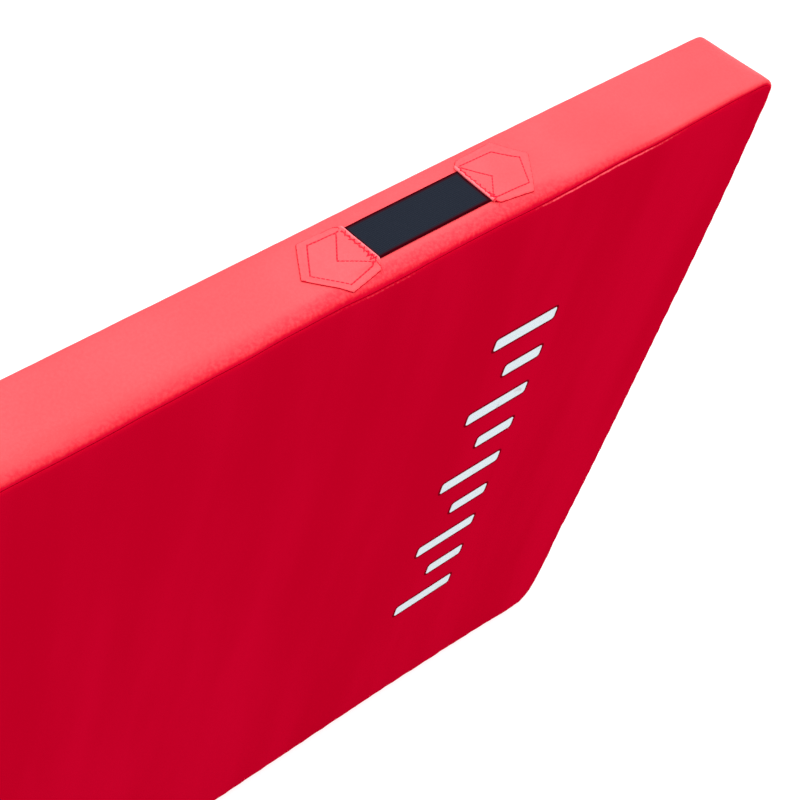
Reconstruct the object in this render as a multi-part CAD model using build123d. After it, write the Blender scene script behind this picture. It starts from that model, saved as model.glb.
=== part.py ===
"""Foam gym mat in a sewn vinyl cover, standing on one long edge.

The frame: X runs along the mat, Y through its thickness with the printed face at -Y, and Z
runs up from the surface it stands on. The origin is at the middle of the foot, where the
lower carrying handles' patches touch that surface. All sizes are in millimetres.
"""
from build123d import *
import os
from math import sqrt

# The whole mat, outside the cover
MAT_LENGTH = 2000.0
MAT_WIDTH = 1000.0
MAT_THICKNESS = 100.0

# Vinyl cover: two flat panels and a border that rolls over to meet them
VINYL = 1.0
EDGE_ROLL = 10.0
PANEL_CORNER = 15.0
BORDER_SKIRT = 60.0
SEAM_THREAD = 1.0

# Carrying handles: webbing sewn down under a pointed patch at each end
HANDLE_FROM_END = 500.0
STRAP_WIDTH = 50.0
STRAP_THICKNESS = 1.6
STRAP_OPEN_SPAN = 156.0
GRIP_LENGTH = 60.0
TAIL_LENGTH = 40.0
PATCH_VINYL = 0.9
PATCH_SIDE_MARGIN = 2.0
PATCH_NECK = 8.0
PATCH_BASE_WIDTH = 64.0
PATCH_SHOULDER_WIDTH = 77.0
PATCH_SHOULDER_REACH = 43.0
PATCH_POINT_REACH = 80.0
PATCH_CORNER = 1.5

# Thread that shows on the patches
STITCH_WIDTH = 0.9
STITCH_DEPTH = 0.4
STITCH_INSET = 7.0
STITCH_V_REACH = 24.0
TACK_FROM_FOLD = 3.0
TACK_WIDTH = 3.0
TACK_END_MARGIN = 2.0
TACK_TURNS = 9

# Zip that closes the cover at the left end
ZIP_WINDOW = 24.0
TAPE_THICKNESS = 0.7
TAPE_WIDTH = 18.0
TAPE_TUCK = 15.0
CHAIN_THICKNESS = 3.0
CHAIN_HALF_WIDTH = 3.2
CHAIN_SPLIT = 1.2
CHAIN_END_GAP = 4.0
STOP_LENGTH = 5.0
SLIDER_LENGTH = 18.0
SLIDER_HEAD_WIDTH = 13.6
SLIDER_TAIL_WIDTH = 11.4
SLIDER_PLATE = 1.4
SLIDER_POST = 0.6
BRIDGE_LENGTH = 8.0
BRIDGE_WIDTH = 3.0
BRIDGE_HEIGHT = 4.0
BRIDGE_HOLE_RADIUS = 1.2
PULL_LENGTH = 32.0
PULL_WIDTH = 9.0
PULL_THICKNESS = 1.6
PULL_ARM = 1.4
PULL_PIN_RADIUS = 0.9

# Plain tick scale printed on the face
TICK_COUNT = 9
TICK_HEIGHT = 20.0
TICK_SPAN = 556.0
TICK_LONG = 100.0
TICK_SHORT = 62.0
TICK_CORNER = 4.0
TICKS_FROM_END = 264.0
PRINT_DEPTH = 0.3

# Clearances
FOAM_EASE = 0.3
SLIDE_GAP = 0.3

# Heights and places that follow from the sizes above
patch_rise = STRAP_THICKNESS + PATCH_VINYL
mat_bottom = patch_rise
mat_top = mat_bottom + MAT_WIDTH
mat_middle = (mat_bottom + mat_top) / 2
left_end = -MAT_LENGTH / 2
front = -MAT_THICKNESS / 2
strap_run = (STRAP_OPEN_SPAN - GRIP_LENGTH) / 2 + TAIL_LENGTH


def write(name: str, shape) -> None:
    """Save one named sub-part."""
    export_step(Compound(children=list(shape.solids())), f"parts/{name}.step")


def slab(inset: float, corner: float, roll: float):
    """The mat's block taken in by an inset, with rounded corners and rolled edges."""
    outline = RectangleRounded(MAT_LENGTH - 2 * inset, MAT_WIDTH - 2 * inset, corner)
    depth = MAT_THICKNESS / 2 - inset
    block = extrude(Plane.XZ * outline, depth, both=True)
    rims = block.edges().filter_by_position(Axis.Y, -depth, -depth)
    rims += block.edges().filter_by_position(Axis.Y, depth, depth)
    return Pos(0, 0, mat_middle) * fillet(rims, roll)


def plate_at(y_low: float, thickness: float, outline):
    """A flat plate in the XZ plane, from y_low towards +Y."""
    return Pos(0, y_low + thickness, mat_middle) * extrude(Plane.XZ * outline, thickness)


def block_between(low, high):
    """A box given by its lowest and highest corners."""
    size = [b - a for a, b in zip(low, high)]
    centre = [(a + b) / 2 for a, b in zip(low, high)]
    return Pos(*centre) * Box(*size)


# ---- Cover panels, border and seams ----

def panel_outline(inset: float = 0.0):
    """Outline of the flat panels, as far as the seam, taken in by an inset."""
    side = EDGE_ROLL + inset
    return RectangleRounded(MAT_LENGTH - 2 * side, MAT_WIDTH - 2 * side, PANEL_CORNER - inset)


def ticks():
    """The printed scale's marks, long and short by turns, from one common edge."""
    pitch = (TICK_SPAN - TICK_HEIGHT) / (TICK_COUNT - 1)
    right = MAT_LENGTH / 2 - TICKS_FROM_END
    marks = Sketch()
    for i in range(TICK_COUNT):
        length = TICK_SHORT if i % 2 else TICK_LONG
        height = (i - (TICK_COUNT - 1) / 2) * pitch
        mark = RectangleRounded(length, TICK_HEIGHT, TICK_CORNER)
        marks += Pos(right - length / 2, height) * mark
    return plate_at(front, PRINT_DEPTH, marks)


def cover_parts() -> None:
    """The vinyl panels, the border strips and the seam threads."""
    corner = PANEL_CORNER + EDGE_ROLL
    skin = slab(0, corner, EDGE_ROLL) - slab(VINYL, corner - VINYL, EDGE_ROLL - VINYL)
    face = plate_at(front, VINYL, panel_outline())
    back = plate_at(-front - VINYL, VINYL, panel_outline())
    border = skin - plate_at(front, MAT_THICKNESS, panel_outline())
    marks = ticks()
    write("face_panel", face - marks)
    write("face_marking", marks)
    write("back_panel", back)

    wide = (MAT_LENGTH, MAT_THICKNESS)
    top_join = mat_top - BORDER_SKIRT
    low_join = mat_bottom + BORDER_SKIRT
    write("top_border", border & block_between((-wide[0], -wide[1], top_join), (*wide, mat_top)))
    write("bottom_border", border & block_between((-wide[0], -wide[1], mat_bottom), (*wide, low_join)))
    write("right_end_border", border & block_between((0, -wide[1], low_join), (*wide, top_join)))
    window = ZIP_WINDOW / 2
    front_side = block_between((-wide[0], -wide[1], low_join), (0, -window, top_join))
    back_side = block_between((-wide[0], window, low_join), (0, wide[1], top_join))
    write("left_end_border_front", border & front_side)
    write("left_end_border_back", border & back_side)

    thread = panel_outline() - panel_outline(SEAM_THREAD)
    write("front_seam_thread", plate_at(front + VINYL, SEAM_THREAD, thread))
    write("back_seam_thread", plate_at(-front - VINYL - SEAM_THREAD, SEAM_THREAD, thread))


# ---- Zip ----

chain_low = mat_bottom + BORDER_SKIRT + CHAIN_END_GAP
chain_high = mat_top - BORDER_SKIRT - CHAIN_END_GAP
chain_side = CHAIN_SPLIT / 2 + CHAIN_HALF_WIDTH
tape_outer = left_end + VINYL
tape_middle = tape_outer + TAPE_THICKNESS / 2
chain_half = CHAIN_THICKNESS / 2
slider_inner = tape_middle + chain_half + SLIDE_GAP + SLIDER_PLATE
slider_outer = tape_middle - chain_half - SLIDE_GAP - SLIDER_PLATE
slider_high = chain_high - STOP_LENGTH - SLIDE_GAP
slider_low = slider_high - SLIDER_LENGTH
slider_middle = (slider_low + slider_high) / 2
hinge_x = slider_outer - BRIDGE_HEIGHT / 2


def zip_parts() -> None:
    """The two tapes, the two rows of teeth, the stops, the slider and its pull."""
    tape_low = mat_bottom + BORDER_SKIRT - TAPE_TUCK
    tape_high = mat_top - BORDER_SKIRT + TAPE_TUCK
    tape = block_between(
        (tape_outer, chain_side, tape_low),
        (tape_outer + TAPE_THICKNESS, chain_side + TAPE_WIDTH, tape_high),
    )
    teeth = block_between(
        (tape_middle - chain_half, CHAIN_SPLIT / 2, chain_low + STOP_LENGTH),
        (tape_middle + chain_half, chain_side, chain_high - STOP_LENGTH),
    )
    top_stop = block_between(
        (tape_middle - chain_half, CHAIN_SPLIT / 2, chain_high - STOP_LENGTH),
        (tape_middle + chain_half, chain_side, chain_high),
    )
    bottom_stop = block_between(
        (tape_middle - chain_half, -chain_side, chain_low),
        (tape_middle + chain_half, chain_side, chain_low + STOP_LENGTH),
    )
    write("zip_tape_back", tape)
    write("zip_tape_front", mirror(tape, Plane.XZ))
    write("zip_teeth_back", teeth)
    write("zip_teeth_front", mirror(teeth, Plane.XZ))
    write("zip_top_stops", Compound(children=[top_stop, mirror(top_stop, Plane.XZ)]))
    write("zip_bottom_stop", bottom_stop)
    write("zip_slider", slider())
    write("zip_pull", pull())


def slider():
    """The slider: two plates round the chain, a thin post between them, and a bridge."""
    head, tail = SLIDER_HEAD_WIDTH / 2, SLIDER_TAIL_WIDTH / 2
    shield = Polyline(
        (-head, slider_high),
        (-head, slider_middle),
        (-tail, slider_low),
        (tail, slider_low),
        (head, slider_middle),
        (head, slider_high),
        close=True,
    )
    outline = Plane((slider_outer, 0, 0), x_dir=(0, 1, 0), z_dir=(1, 0, 0)) * make_face(shield)
    body = extrude(outline, slider_inner - slider_outer)
    body = fillet(body.edges().filter_by(Axis.X), SLIDER_PLATE / 2)
    channel_side = chain_side + SLIDE_GAP
    channel_half = chain_half + SLIDE_GAP
    slot_half = TAPE_THICKNESS / 2 + SLIDE_GAP
    body -= block_between(
        (tape_middle - channel_half, -channel_side, slider_low - 1),
        (tape_middle + channel_half, channel_side, slider_high + 1),
    )
    body -= block_between(
        (tape_middle - slot_half, -SLIDER_HEAD_WIDTH, slider_low - 1),
        (tape_middle + slot_half, SLIDER_HEAD_WIDTH, slider_high + 1),
    )
    body += block_between(
        (tape_middle - channel_half, -SLIDER_POST / 2, slider_middle),
        (tape_middle + channel_half, SLIDER_POST / 2, slider_high - SLIDER_PLATE),
    )
    bridge = block_between(
        (slider_outer - BRIDGE_HEIGHT, -BRIDGE_WIDTH / 2, slider_middle - BRIDGE_LENGTH / 2),
        (slider_outer, BRIDGE_WIDTH / 2, slider_middle + BRIDGE_LENGTH / 2),
    )
    crown = bridge.edges().filter_by(Axis.Y).group_by(Axis.X)[0]
    bridge = fillet(crown, BRIDGE_HEIGHT / 4)
    hole = Pos(hinge_x, 0, slider_middle) * Rot(90, 0, 0) * Cylinder(BRIDGE_HOLE_RADIUS, PULL_WIDTH)
    return body + (bridge - hole)


def pull():
    """The pull: a flat tab with a window whose top bar turns in the slider's bridge."""
    inner = BRIDGE_WIDTH / 2 + SLIDE_GAP
    arm_outer = inner + PULL_ARM
    reach = sqrt((BRIDGE_LENGTH / 2) ** 2 + (BRIDGE_HEIGHT / 2) ** 2) + 2 * SLIDE_GAP
    half = PULL_THICKNESS / 2
    tab = block_between(
        (hinge_x - half, -PULL_WIDTH / 2, slider_middle - PULL_LENGTH),
        (hinge_x + half, PULL_WIDTH / 2, slider_middle - reach),
    )
    tab = fillet(tab.edges().filter_by(Axis.X), PULL_WIDTH / 5)
    arm = block_between(
        (hinge_x - half, inner, slider_middle - reach - PULL_WIDTH / 4),
        (hinge_x + half, arm_outer, slider_middle),
    )
    arm += Pos(hinge_x, (inner + arm_outer) / 2, slider_middle) * Rot(90, 0, 0) * Cylinder(half, PULL_ARM)
    pin = Pos(hinge_x, 0, slider_middle) * Rot(90, 0, 0) * Cylinder(PULL_PIN_RADIUS, 2 * inner)
    return tab + arm + mirror(arm, Plane.XZ) + pin


# ---- Foam core ----

def foam_core():
    """The foam block, eased off the cover's curves, with room for the seams and the zip."""
    seam_reach = EDGE_ROLL + SEAM_THREAD - VINYL
    seam_depth = SEAM_THREAD + FOAM_EASE
    roll = seam_reach + seam_depth + sqrt(2 * seam_reach * seam_depth)
    corner = max(PANEL_CORNER + EDGE_ROLL, roll) + FOAM_EASE
    core = slab(VINYL, corner, roll)
    tape_side = chain_side + TAPE_WIDTH + FOAM_EASE
    core -= block_between(
        (left_end, -tape_side, mat_bottom + BORDER_SKIRT - TAPE_TUCK - FOAM_EASE),
        (tape_outer + TAPE_THICKNESS, tape_side, mat_top - BORDER_SKIRT + TAPE_TUCK + FOAM_EASE),
    )
    groove_side = SLIDER_HEAD_WIDTH / 2 + FOAM_EASE
    core -= block_between(
        (left_end, -groove_side, chain_low - FOAM_EASE),
        (slider_inner + FOAM_EASE, groove_side, chain_high + FOAM_EASE),
    )
    return core


# ---- Carrying handles ----
# Each is made about its own middle: x along the webbing, z out from the border.

def patch_outline():
    """The pointed patch beyond the right end of the open span, with its corners sharp."""
    fold = STRAP_OPEN_SPAN / 2
    neck = fold + PATCH_NECK
    half_neck = STRAP_WIDTH / 2 + PATCH_SIDE_MARGIN
    upper = [
        (fold, half_neck),
        (neck, half_neck),
        (neck, PATCH_BASE_WIDTH / 2),
        (neck + PATCH_SHOULDER_REACH, PATCH_SHOULDER_WIDTH / 2),
    ]
    lower = [(x, -y) for x, y in reversed(upper)]
    return make_face(Polyline(*upper, (neck + PATCH_POINT_REACH, 0), *lower, close=True))


def stitch_lines():
    """Thread on the patch: a pointed loop, a V within it and a zigzag along the fold."""
    fold = STRAP_OPEN_SPAN / 2
    base = fold + PATCH_NECK + STITCH_WIDTH
    base_side = PATCH_BASE_WIDTH / 2 - STITCH_INSET
    shoulder_side = PATCH_SHOULDER_WIDTH / 2 - STITCH_INSET
    shoulder = fold + PATCH_NECK + PATCH_SHOULDER_REACH
    rise = PATCH_POINT_REACH - PATCH_SHOULDER_REACH
    slant = sqrt(rise**2 + (PATCH_SHOULDER_WIDTH / 2) ** 2)
    point = shoulder + rise - STITCH_INSET * slant / (PATCH_SHOULDER_WIDTH / 2)
    loop = [
        (base, base_side),
        (shoulder, shoulder_side),
        (point, 0),
        (shoulder, -shoulder_side),
        (base, -base_side),
    ]
    v_line = [(base, base_side), (base + STITCH_V_REACH, 0), (base, -base_side)]
    near = fold + TACK_FROM_FOLD
    far = near + TACK_WIDTH
    tack_side = STRAP_WIDTH / 2 - TACK_END_MARGIN
    step = tack_side / TACK_TURNS
    tack = [(far if i % 2 else near, i * step - tack_side) for i in range(2 * TACK_TURNS + 1)]
    lines = trace(Polyline(*loop, close=True), STITCH_WIDTH)
    for points in (v_line, tack):
        lines += trace(Polyline(*points), STITCH_WIDTH)
    return lines


def handle_pieces() -> dict:
    """One handle's pieces about its own middle, by name."""
    grip = Pos(0, 0, STRAP_THICKNESS / 2) * Box(GRIP_LENGTH, STRAP_WIDTH, STRAP_THICKNESS)
    strap = block_between(
        (GRIP_LENGTH / 2, -STRAP_WIDTH / 2, 0),
        (GRIP_LENGTH / 2 + strap_run, STRAP_WIDTH / 2, STRAP_THICKNESS),
    )
    thread = Pos(0, 0, patch_rise - STITCH_DEPTH) * extrude(stitch_lines(), STITCH_DEPTH)
    patch = extrude(patch_outline(), patch_rise)
    patch = fillet(patch.edges().filter_by(Axis.Z), PATCH_CORNER)
    patch = patch - strap - thread
    pieces = {"grip": grip}
    for name, shape in {"strap": strap, "patch": patch, "stitching": thread}.items():
        pieces[f"{name}_right"] = shape
        pieces[f"{name}_left"] = mirror(shape, Plane.YZ)
    return pieces


def handle_parts() -> None:
    """The four handles, two on each long edge."""
    pieces = handle_pieces()
    reach = MAT_LENGTH / 2 - HANDLE_FROM_END
    for side, x in {"right": reach, "left": -reach}.items():
        for edge, turn, z in (("top", 0, mat_top), ("bottom", 180, mat_bottom)):
            place = Pos(x, 0, z) * Rot(turn, 0, 0)
            for name, shape in pieces.items():
                write(f"{edge}_{side}_{name}", place * shape)


os.makedirs("parts", exist_ok=True)
write("foam_core", foam_core())
cover_parts()
zip_parts()
handle_parts()
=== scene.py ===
"""A foam gym mat in a sewn vinyl cover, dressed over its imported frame.

The mat stands on one long edge: X runs along it, Y through its thickness with the printed
face at -Y, and Z is up. Everything is in metres.
"""
import logging
import math
from dataclasses import dataclass, field, replace
from enum import Enum
from typing import Iterable, Optional, Sequence

import bmesh
import bpy
from mathutils import Matrix, Vector
from mathutils.bvhtree import BVHTree
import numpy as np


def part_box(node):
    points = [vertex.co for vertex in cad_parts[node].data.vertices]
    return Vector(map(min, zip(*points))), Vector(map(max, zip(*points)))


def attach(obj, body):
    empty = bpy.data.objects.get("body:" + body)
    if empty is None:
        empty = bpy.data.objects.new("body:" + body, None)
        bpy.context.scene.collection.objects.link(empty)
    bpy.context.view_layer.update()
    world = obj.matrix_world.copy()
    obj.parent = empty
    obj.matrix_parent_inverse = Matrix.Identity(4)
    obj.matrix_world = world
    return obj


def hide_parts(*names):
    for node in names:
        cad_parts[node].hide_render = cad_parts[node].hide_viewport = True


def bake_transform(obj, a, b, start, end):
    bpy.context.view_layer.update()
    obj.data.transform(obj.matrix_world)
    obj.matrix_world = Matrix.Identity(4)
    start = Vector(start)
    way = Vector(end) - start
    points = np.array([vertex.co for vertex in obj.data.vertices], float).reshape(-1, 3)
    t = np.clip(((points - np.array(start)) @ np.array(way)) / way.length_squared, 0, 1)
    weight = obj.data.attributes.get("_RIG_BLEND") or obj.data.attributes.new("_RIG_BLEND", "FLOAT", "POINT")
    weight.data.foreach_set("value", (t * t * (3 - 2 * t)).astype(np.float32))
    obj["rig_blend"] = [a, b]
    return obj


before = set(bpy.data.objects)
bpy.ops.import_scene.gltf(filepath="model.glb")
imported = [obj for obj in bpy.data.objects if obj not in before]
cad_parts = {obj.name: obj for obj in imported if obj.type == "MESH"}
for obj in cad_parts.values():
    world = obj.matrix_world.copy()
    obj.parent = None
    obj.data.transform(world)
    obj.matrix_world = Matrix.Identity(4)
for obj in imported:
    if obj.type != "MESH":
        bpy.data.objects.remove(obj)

log = logging.getLogger("gym_mat")
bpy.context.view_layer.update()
Point = tuple[float, float]
Triple = tuple[float, float, float]
Table = tuple[Point, ...]
Mesh = bmesh.types.BMesh
Vert = bmesh.types.BMVert
Edge = bmesh.types.BMEdge
Face = bmesh.types.BMFace
Socket = bpy.types.NodeSocket
MM = 0.001
OFF_FLOOR = 0.0002  # least height of anything that lies on the floor
FLUSH = 1e-5  # points nearer a plane than this lie in it
NEAR = 1e-4  # points nearer a seam or the floor than this lie on it


class Slot(Enum):
    """The record's material slots of the new pieces."""

    FOAM = "foam"
    PANEL = "panel_vinyl"
    BORDER = "border_vinyl"
    PATCH = "patch_vinyl"
    PRINT = "print_white"
    WEBBING = "webbing"
    STITCHING = "stitching"
    SEAM = "seam_thread"
    TAPE = "zip_tape"
    TEETH = "zip_teeth"


class Section(Enum):
    """The cover's sewn sections, in the order of their material indices on the shell."""

    FACE = 0
    BACK = 1
    TOP = 2
    BOTTOM = 3
    RIGHT = 4
    LEFT_FRONT = 5
    LEFT_BACK = 6
    WINDOW = 7


def smooth(low: float, high: float, value: float) -> float:
    """Ease from 0 at low to 1 at high.

    Args:
        low: where the ease starts.
        high: where it ends.
        value: where it is wanted.

    Returns:
        The eased share.
    """
    share = min(max((value - low) / (high - low), 0.0), 1.0)
    return share * share * (3 - 2 * share)


def read_off(table: Table, at: float) -> float:
    """Read a smooth line through a table's points.

    Args:
        table: (place, value) pairs in rising order of place.
        at: the place to read.

    Returns:
        The value there, held level beyond either end.
    """
    if at <= table[0][0]:
        return table[0][1]
    if at >= table[-1][0]:
        return table[-1][1]
    i = next(k for k in range(len(table) - 1) if at <= table[k + 1][0])
    (x1, y1), (x2, y2) = table[i], table[i + 1]
    x0, y0 = table[max(i - 1, 0)]
    x3, y3 = table[min(i + 2, len(table) - 1)]
    span = x2 - x1
    lead_in = (y2 - y0) / (x2 - x0) * span
    lead_out = (y3 - y1) / (x3 - x1) * span
    t = (at - x1) / span
    return (
        (2 * t**3 - 3 * t**2 + 1) * y1
        + (t**3 - 2 * t**2 + t) * lead_in
        + (3 * t**2 - 2 * t**3) * y2
        + (t**3 - t**2) * lead_out
    )


def line_gap(line: Sequence[Point], x: float, y: float) -> float:
    """Measure how far a point lies from a line through points.

    Args:
        line: the line's points.
        x: the point's first coordinate.
        y: its second.

    Returns:
        The distance to the nearest stretch of the line.
    """
    nearest = math.inf
    for (ax, ay), (bx, by) in zip(line, line[1:]):
        dx, dy = bx - ax, by - ay
        share = ((x - ax) * dx + (y - ay) * dy) / (dx * dx + dy * dy)
        share = min(max(share, 0.0), 1.0)
        nearest = min(nearest, math.hypot(x - ax - share * dx, y - ay - share * dy))
    return nearest


def add_box(mesh: Mesh, middle: Sequence[float], size: Sequence[float]) -> list[Vert]:
    """Add a box to a mesh.

    Args:
        mesh: the mesh.
        middle: the box's middle.
        size: its length along each axis.

    Returns:
        Its corners.
    """
    place = Matrix.Translation(middle) @ Matrix.Diagonal((*size, 1.0))
    return bmesh.ops.create_cube(mesh, size=1.0, matrix=place)["verts"]


def edges_along(mesh: Mesh, axis: int) -> list[Edge]:
    """Return the edges whose ends lie apart along an axis."""
    return [e for e in mesh.edges if abs(e.verts[0].co[axis] - e.verts[1].co[axis]) > FLUSH]


def round_off(mesh: Mesh, geometry: Sequence[Edge], radius: float, steps: int) -> None:
    """Round some edges of a mesh.

    Args:
        mesh: the mesh.
        geometry: its edges to round.
        radius: how far the rounding reaches from each edge.
        steps: how many faces go round it.
    """
    bmesh.ops.bevel(
        mesh, geom=geometry, offset=radius, segments=steps, profile=0.5, affect="EDGES",
        material=-1,
    )


def cut(mesh: Mesh, axis: int, places: Iterable[float]) -> None:
    """Cut a mesh across an axis at each of some places.

    Args:
        mesh: the mesh.
        axis: 0, 1 or 2, for X, Y or Z.
        places: where to cut.
    """
    normal = Vector((0.0, 0.0, 0.0))
    normal[axis] = 1.0
    for place in places:
        geometry = mesh.verts[:] + mesh.edges[:] + mesh.faces[:]
        bmesh.ops.bisect_plane(
            mesh, geom=geometry, dist=1e-6, plane_co=normal * place, plane_no=normal
        )


def weave_along(mesh: Mesh, along: int, across: int) -> None:
    """Lay the weave's coordinates on a mesh.

    Args:
        mesh: the mesh, still flat.
        along: the axis that the webbing or tape runs along.
        across: the axis across it.
    """
    weave = mesh.loops.layers.uv.new("weave")
    for f in mesh.faces:
        for corner in f.loops:
            corner[weave].uv = (corner.vert.co[along], corner.vert.co[across])


def link_up(name: str, data: bpy.types.ID) -> bpy.types.Object:
    """Put a mesh, lamp or camera into the scene as an object at the origin."""
    made = bpy.data.objects.new(name, data)
    bpy.context.scene.collection.objects.link(made)
    return made


def new_piece(
    name: str, mesh: Mesh, slot: Slot, finish: "Finish", crease: float = 4.0
) -> bpy.types.Object:
    """Make a finished bmesh into a piece with its material.

    Args:
        name: the piece's name.
        mesh: its shape, which is freed.
        slot: its record slot; not used.
        finish: what it is made of.
        crease: angle in radians past which an edge shades sharp.

    Returns:
        The new object, at the origin.
    """
    for e in mesh.edges:
        if len(e.link_faces) == 2 and e.calc_face_angle(0.0) > crease:
            e.smooth = False
    data = bpy.data.meshes.new(name)
    mesh.to_mesh(data)
    mesh.free()
    data.materials.clear()
    data.materials.append(finish.material())
    data.polygons.foreach_set("material_index", [0] * len(data.polygons))
    data.polygons.foreach_set("use_smooth", [True] * len(data.polygons))
    data.update()
    piece = link_up(name, data)
    return piece


def walk(points: Sequence[Vector], pitch: float) -> Iterable[tuple[Vector, Vector]]:
    """Step along a line of points at an even pitch.

    Args:
        points: the line's points.
        pitch: the step.

    Yields:
        Each step's middle and direction.
    """
    left = pitch / 2
    for a, b in zip(points, points[1:]):
        run = b - a
        length = run.length
        if length < 1e-9:
            continue
        run /= length
        while left <= length:
            yield a + run * left, run
            left += pitch
        left -= length


def sew(
    mesh: Mesh, points: Sequence[Vector], pitch: float, length: float,
    thickness: float, shift: Vector, detail: int = 1,
) -> None:
    """Lay stitches along a line.

    Args:
        mesh: the mesh that takes them.
        points: the line's points.
        pitch: length of one stitch.
        length: length of thread that shows.
        thickness: the thread's thickness.
        shift: how far the stitches lie from the line.
        detail: how finely each stitch is divided.
    """
    for place, run in walk(points, pitch):
        turn = Vector((1.0, 0.0, 0.0)).rotation_difference(run).to_matrix().to_4x4()
        shape = Matrix.Diagonal((length, thickness, thickness, 1.0))
        bmesh.ops.create_icosphere(
            mesh, subdivisions=detail, radius=0.5,
            matrix=Matrix.Translation(place + shift) @ turn @ shape,
        )


# ---- Finishes ----


@dataclass(frozen=True)
class Shading:
    """The shader nodes of one material, and short ways to add to them.

    Attributes:
        tree: the material's nodes.
        shader: its Principled BSDF.
    """

    tree: bpy.types.NodeTree
    shader: bpy.types.Node

    def node(self, kind: str, **sockets: object) -> bpy.types.Node:
        """Add one node.

        Args:
            kind: the node's type without the ShaderNode prefix.
            sockets: input values or links by socket name, with _ for a space, or
                node properties in lower case.

        Returns:
            The node.
        """
        made = self.tree.nodes.new("ShaderNode" + kind)
        for key, value in sockets.items():
            if hasattr(made, key) and key[0].islower():
                setattr(made, key, value)
                continue
            name = key.replace("_", " ")
            self.feed(made.inputs[int(name[5:]) if name.startswith("Input") else name], value)
        return made

    def feed(self, socket: Socket, value: object) -> None:
        """Give a socket a value or a link."""
        if isinstance(value, Socket):
            self.tree.links.new(value, socket)
        else:
            socket.default_value = value

    def lay(self, **sockets: object) -> None:
        """Feed the shader's own inputs, each by its name with _ for a space."""
        for key, value in sockets.items():
            self.feed(self.shader.inputs[key.replace("_", " ")], value)

    def attribute(self, name: str) -> Socket:
        """Return a value that is kept on the mesh."""
        return self.node("Attribute", attribute_name=name).outputs["Fac"]

    def scaled(self, scale: Sequence[float]) -> Socket:
        """Return object coordinates scaled by an amount per axis."""
        place = self.node("TexCoord")
        mapping = self.node("Mapping", Vector=place.outputs["Object"], Scale=tuple(scale))
        return mapping.outputs["Vector"]

    def noise(self, scale: Sequence[float], detail: float = 2.0) -> Socket:
        """Return smooth noise.

        Args:
            scale: its scale per axis, in 1/m.
            detail: how many finer layers it has.

        Returns:
            The noise.
        """
        noise = self.node("TexNoise", Vector=self.scaled(scale), Scale=1.0, Detail=detail)
        return noise.outputs["Fac"]

    def cells(self, scale: float, feature: str = "SMOOTH_F1") -> Socket:
        """Return the distance from the middles of small cells.

        Args:
            scale: cells per metre.
            feature: how the distance is taken.

        Returns:
            The distance, as a share of a cell.
        """
        cells = self.node(
            "TexVoronoi", feature=feature, Vector=self.scaled((scale,) * 3), Scale=1.0
        )
        return cells.outputs["Distance"]

    def blend(self, share: Socket, low: Triple | Socket, high: Triple | Socket) -> Socket:
        """Mix two colours.

        Args:
            share: how much of the second colour there is.
            low: the first colour, linear RGB or a link.
            high: the second colour.

        Returns:
            The mixed colour.
        """
        mix = self.node("Mix", data_type="RGBA")
        self.tree.links.new(share, mix.inputs["Factor"])
        sides = [s for s in mix.inputs if s.type == "RGBA"]
        for socket, value in zip(sides, (low, high)):
            self.feed(socket, value if isinstance(value, Socket) else (*value, 1.0))
        return next(s for s in mix.outputs if s.type == "RGBA")

    def ramp(self, value: Socket, band: Point, levels: Point = (0.0, 1.0)) -> Socket:
        """Ease a value from one range to another.

        Args:
            value: the value.
            band: the range that it is read in.
            levels: the range that it is given.

        Returns:
            The eased value.
        """
        node = self.node(
            "MapRange", interpolation_type="SMOOTHSTEP", Value=value, From_Min=band[0],
            From_Max=band[1], To_Min=levels[0], To_Max=levels[1],
        )
        return node.outputs["Result"]

    def maths(self, operation: str, a: object, b: object = 0.0) -> Socket:
        """Return the result of one sum on values or links."""
        return self.node("Math", operation=operation, Input0=a, Input1=b).outputs[0]

    def times(self, a: object, b: object) -> Socket:
        """Return the product of two values or links."""
        return self.maths("MULTIPLY", a, b)

    def relief(self, height: Socket, depth: float, strength: float, **under: Socket) -> Socket:
        """Return the normal of a bumpy surface.

        Args:
            height: its height.
            depth: the depth of the bumps, in metres.
            strength: how strongly they show.
            under: the normal under them as Normal, if there is one.

        Returns:
            The normal.
        """
        bump = self.node("Bump", Height=height, Distance=depth, Strength=strength, **under)
        return bump.outputs["Normal"]


@dataclass(frozen=True)
class Finish:
    """A surface finish; each kind adds its own detail to the shader.

    Attributes:
        name: the material's name.
        colour: base colour, linear RGB.
        roughness: mean roughness.
        gloss: specular level, 0.5 for plain plastic.
    """

    name: str
    colour: Triple
    roughness: float = 0.5
    gloss: float = 0.5

    def material(self) -> bpy.types.Material:
        """Return this finish's material, made once."""
        made = bpy.data.materials.get(self.name)
        if made is None:
            made = bpy.data.materials.new(self.name)
            made.use_nodes = True
            on = Shading(made.node_tree, made.node_tree.nodes["Principled BSDF"])
            on.lay(
                Base_Color=(*self.colour, 1.0), Roughness=self.roughness,
                Specular_IOR_Level=self.gloss,
            )
            self.detail(on)
        return made

    def detail(self, on: Shading) -> None:
        """Add the finish's texture to the material; a plain finish has none."""


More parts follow.
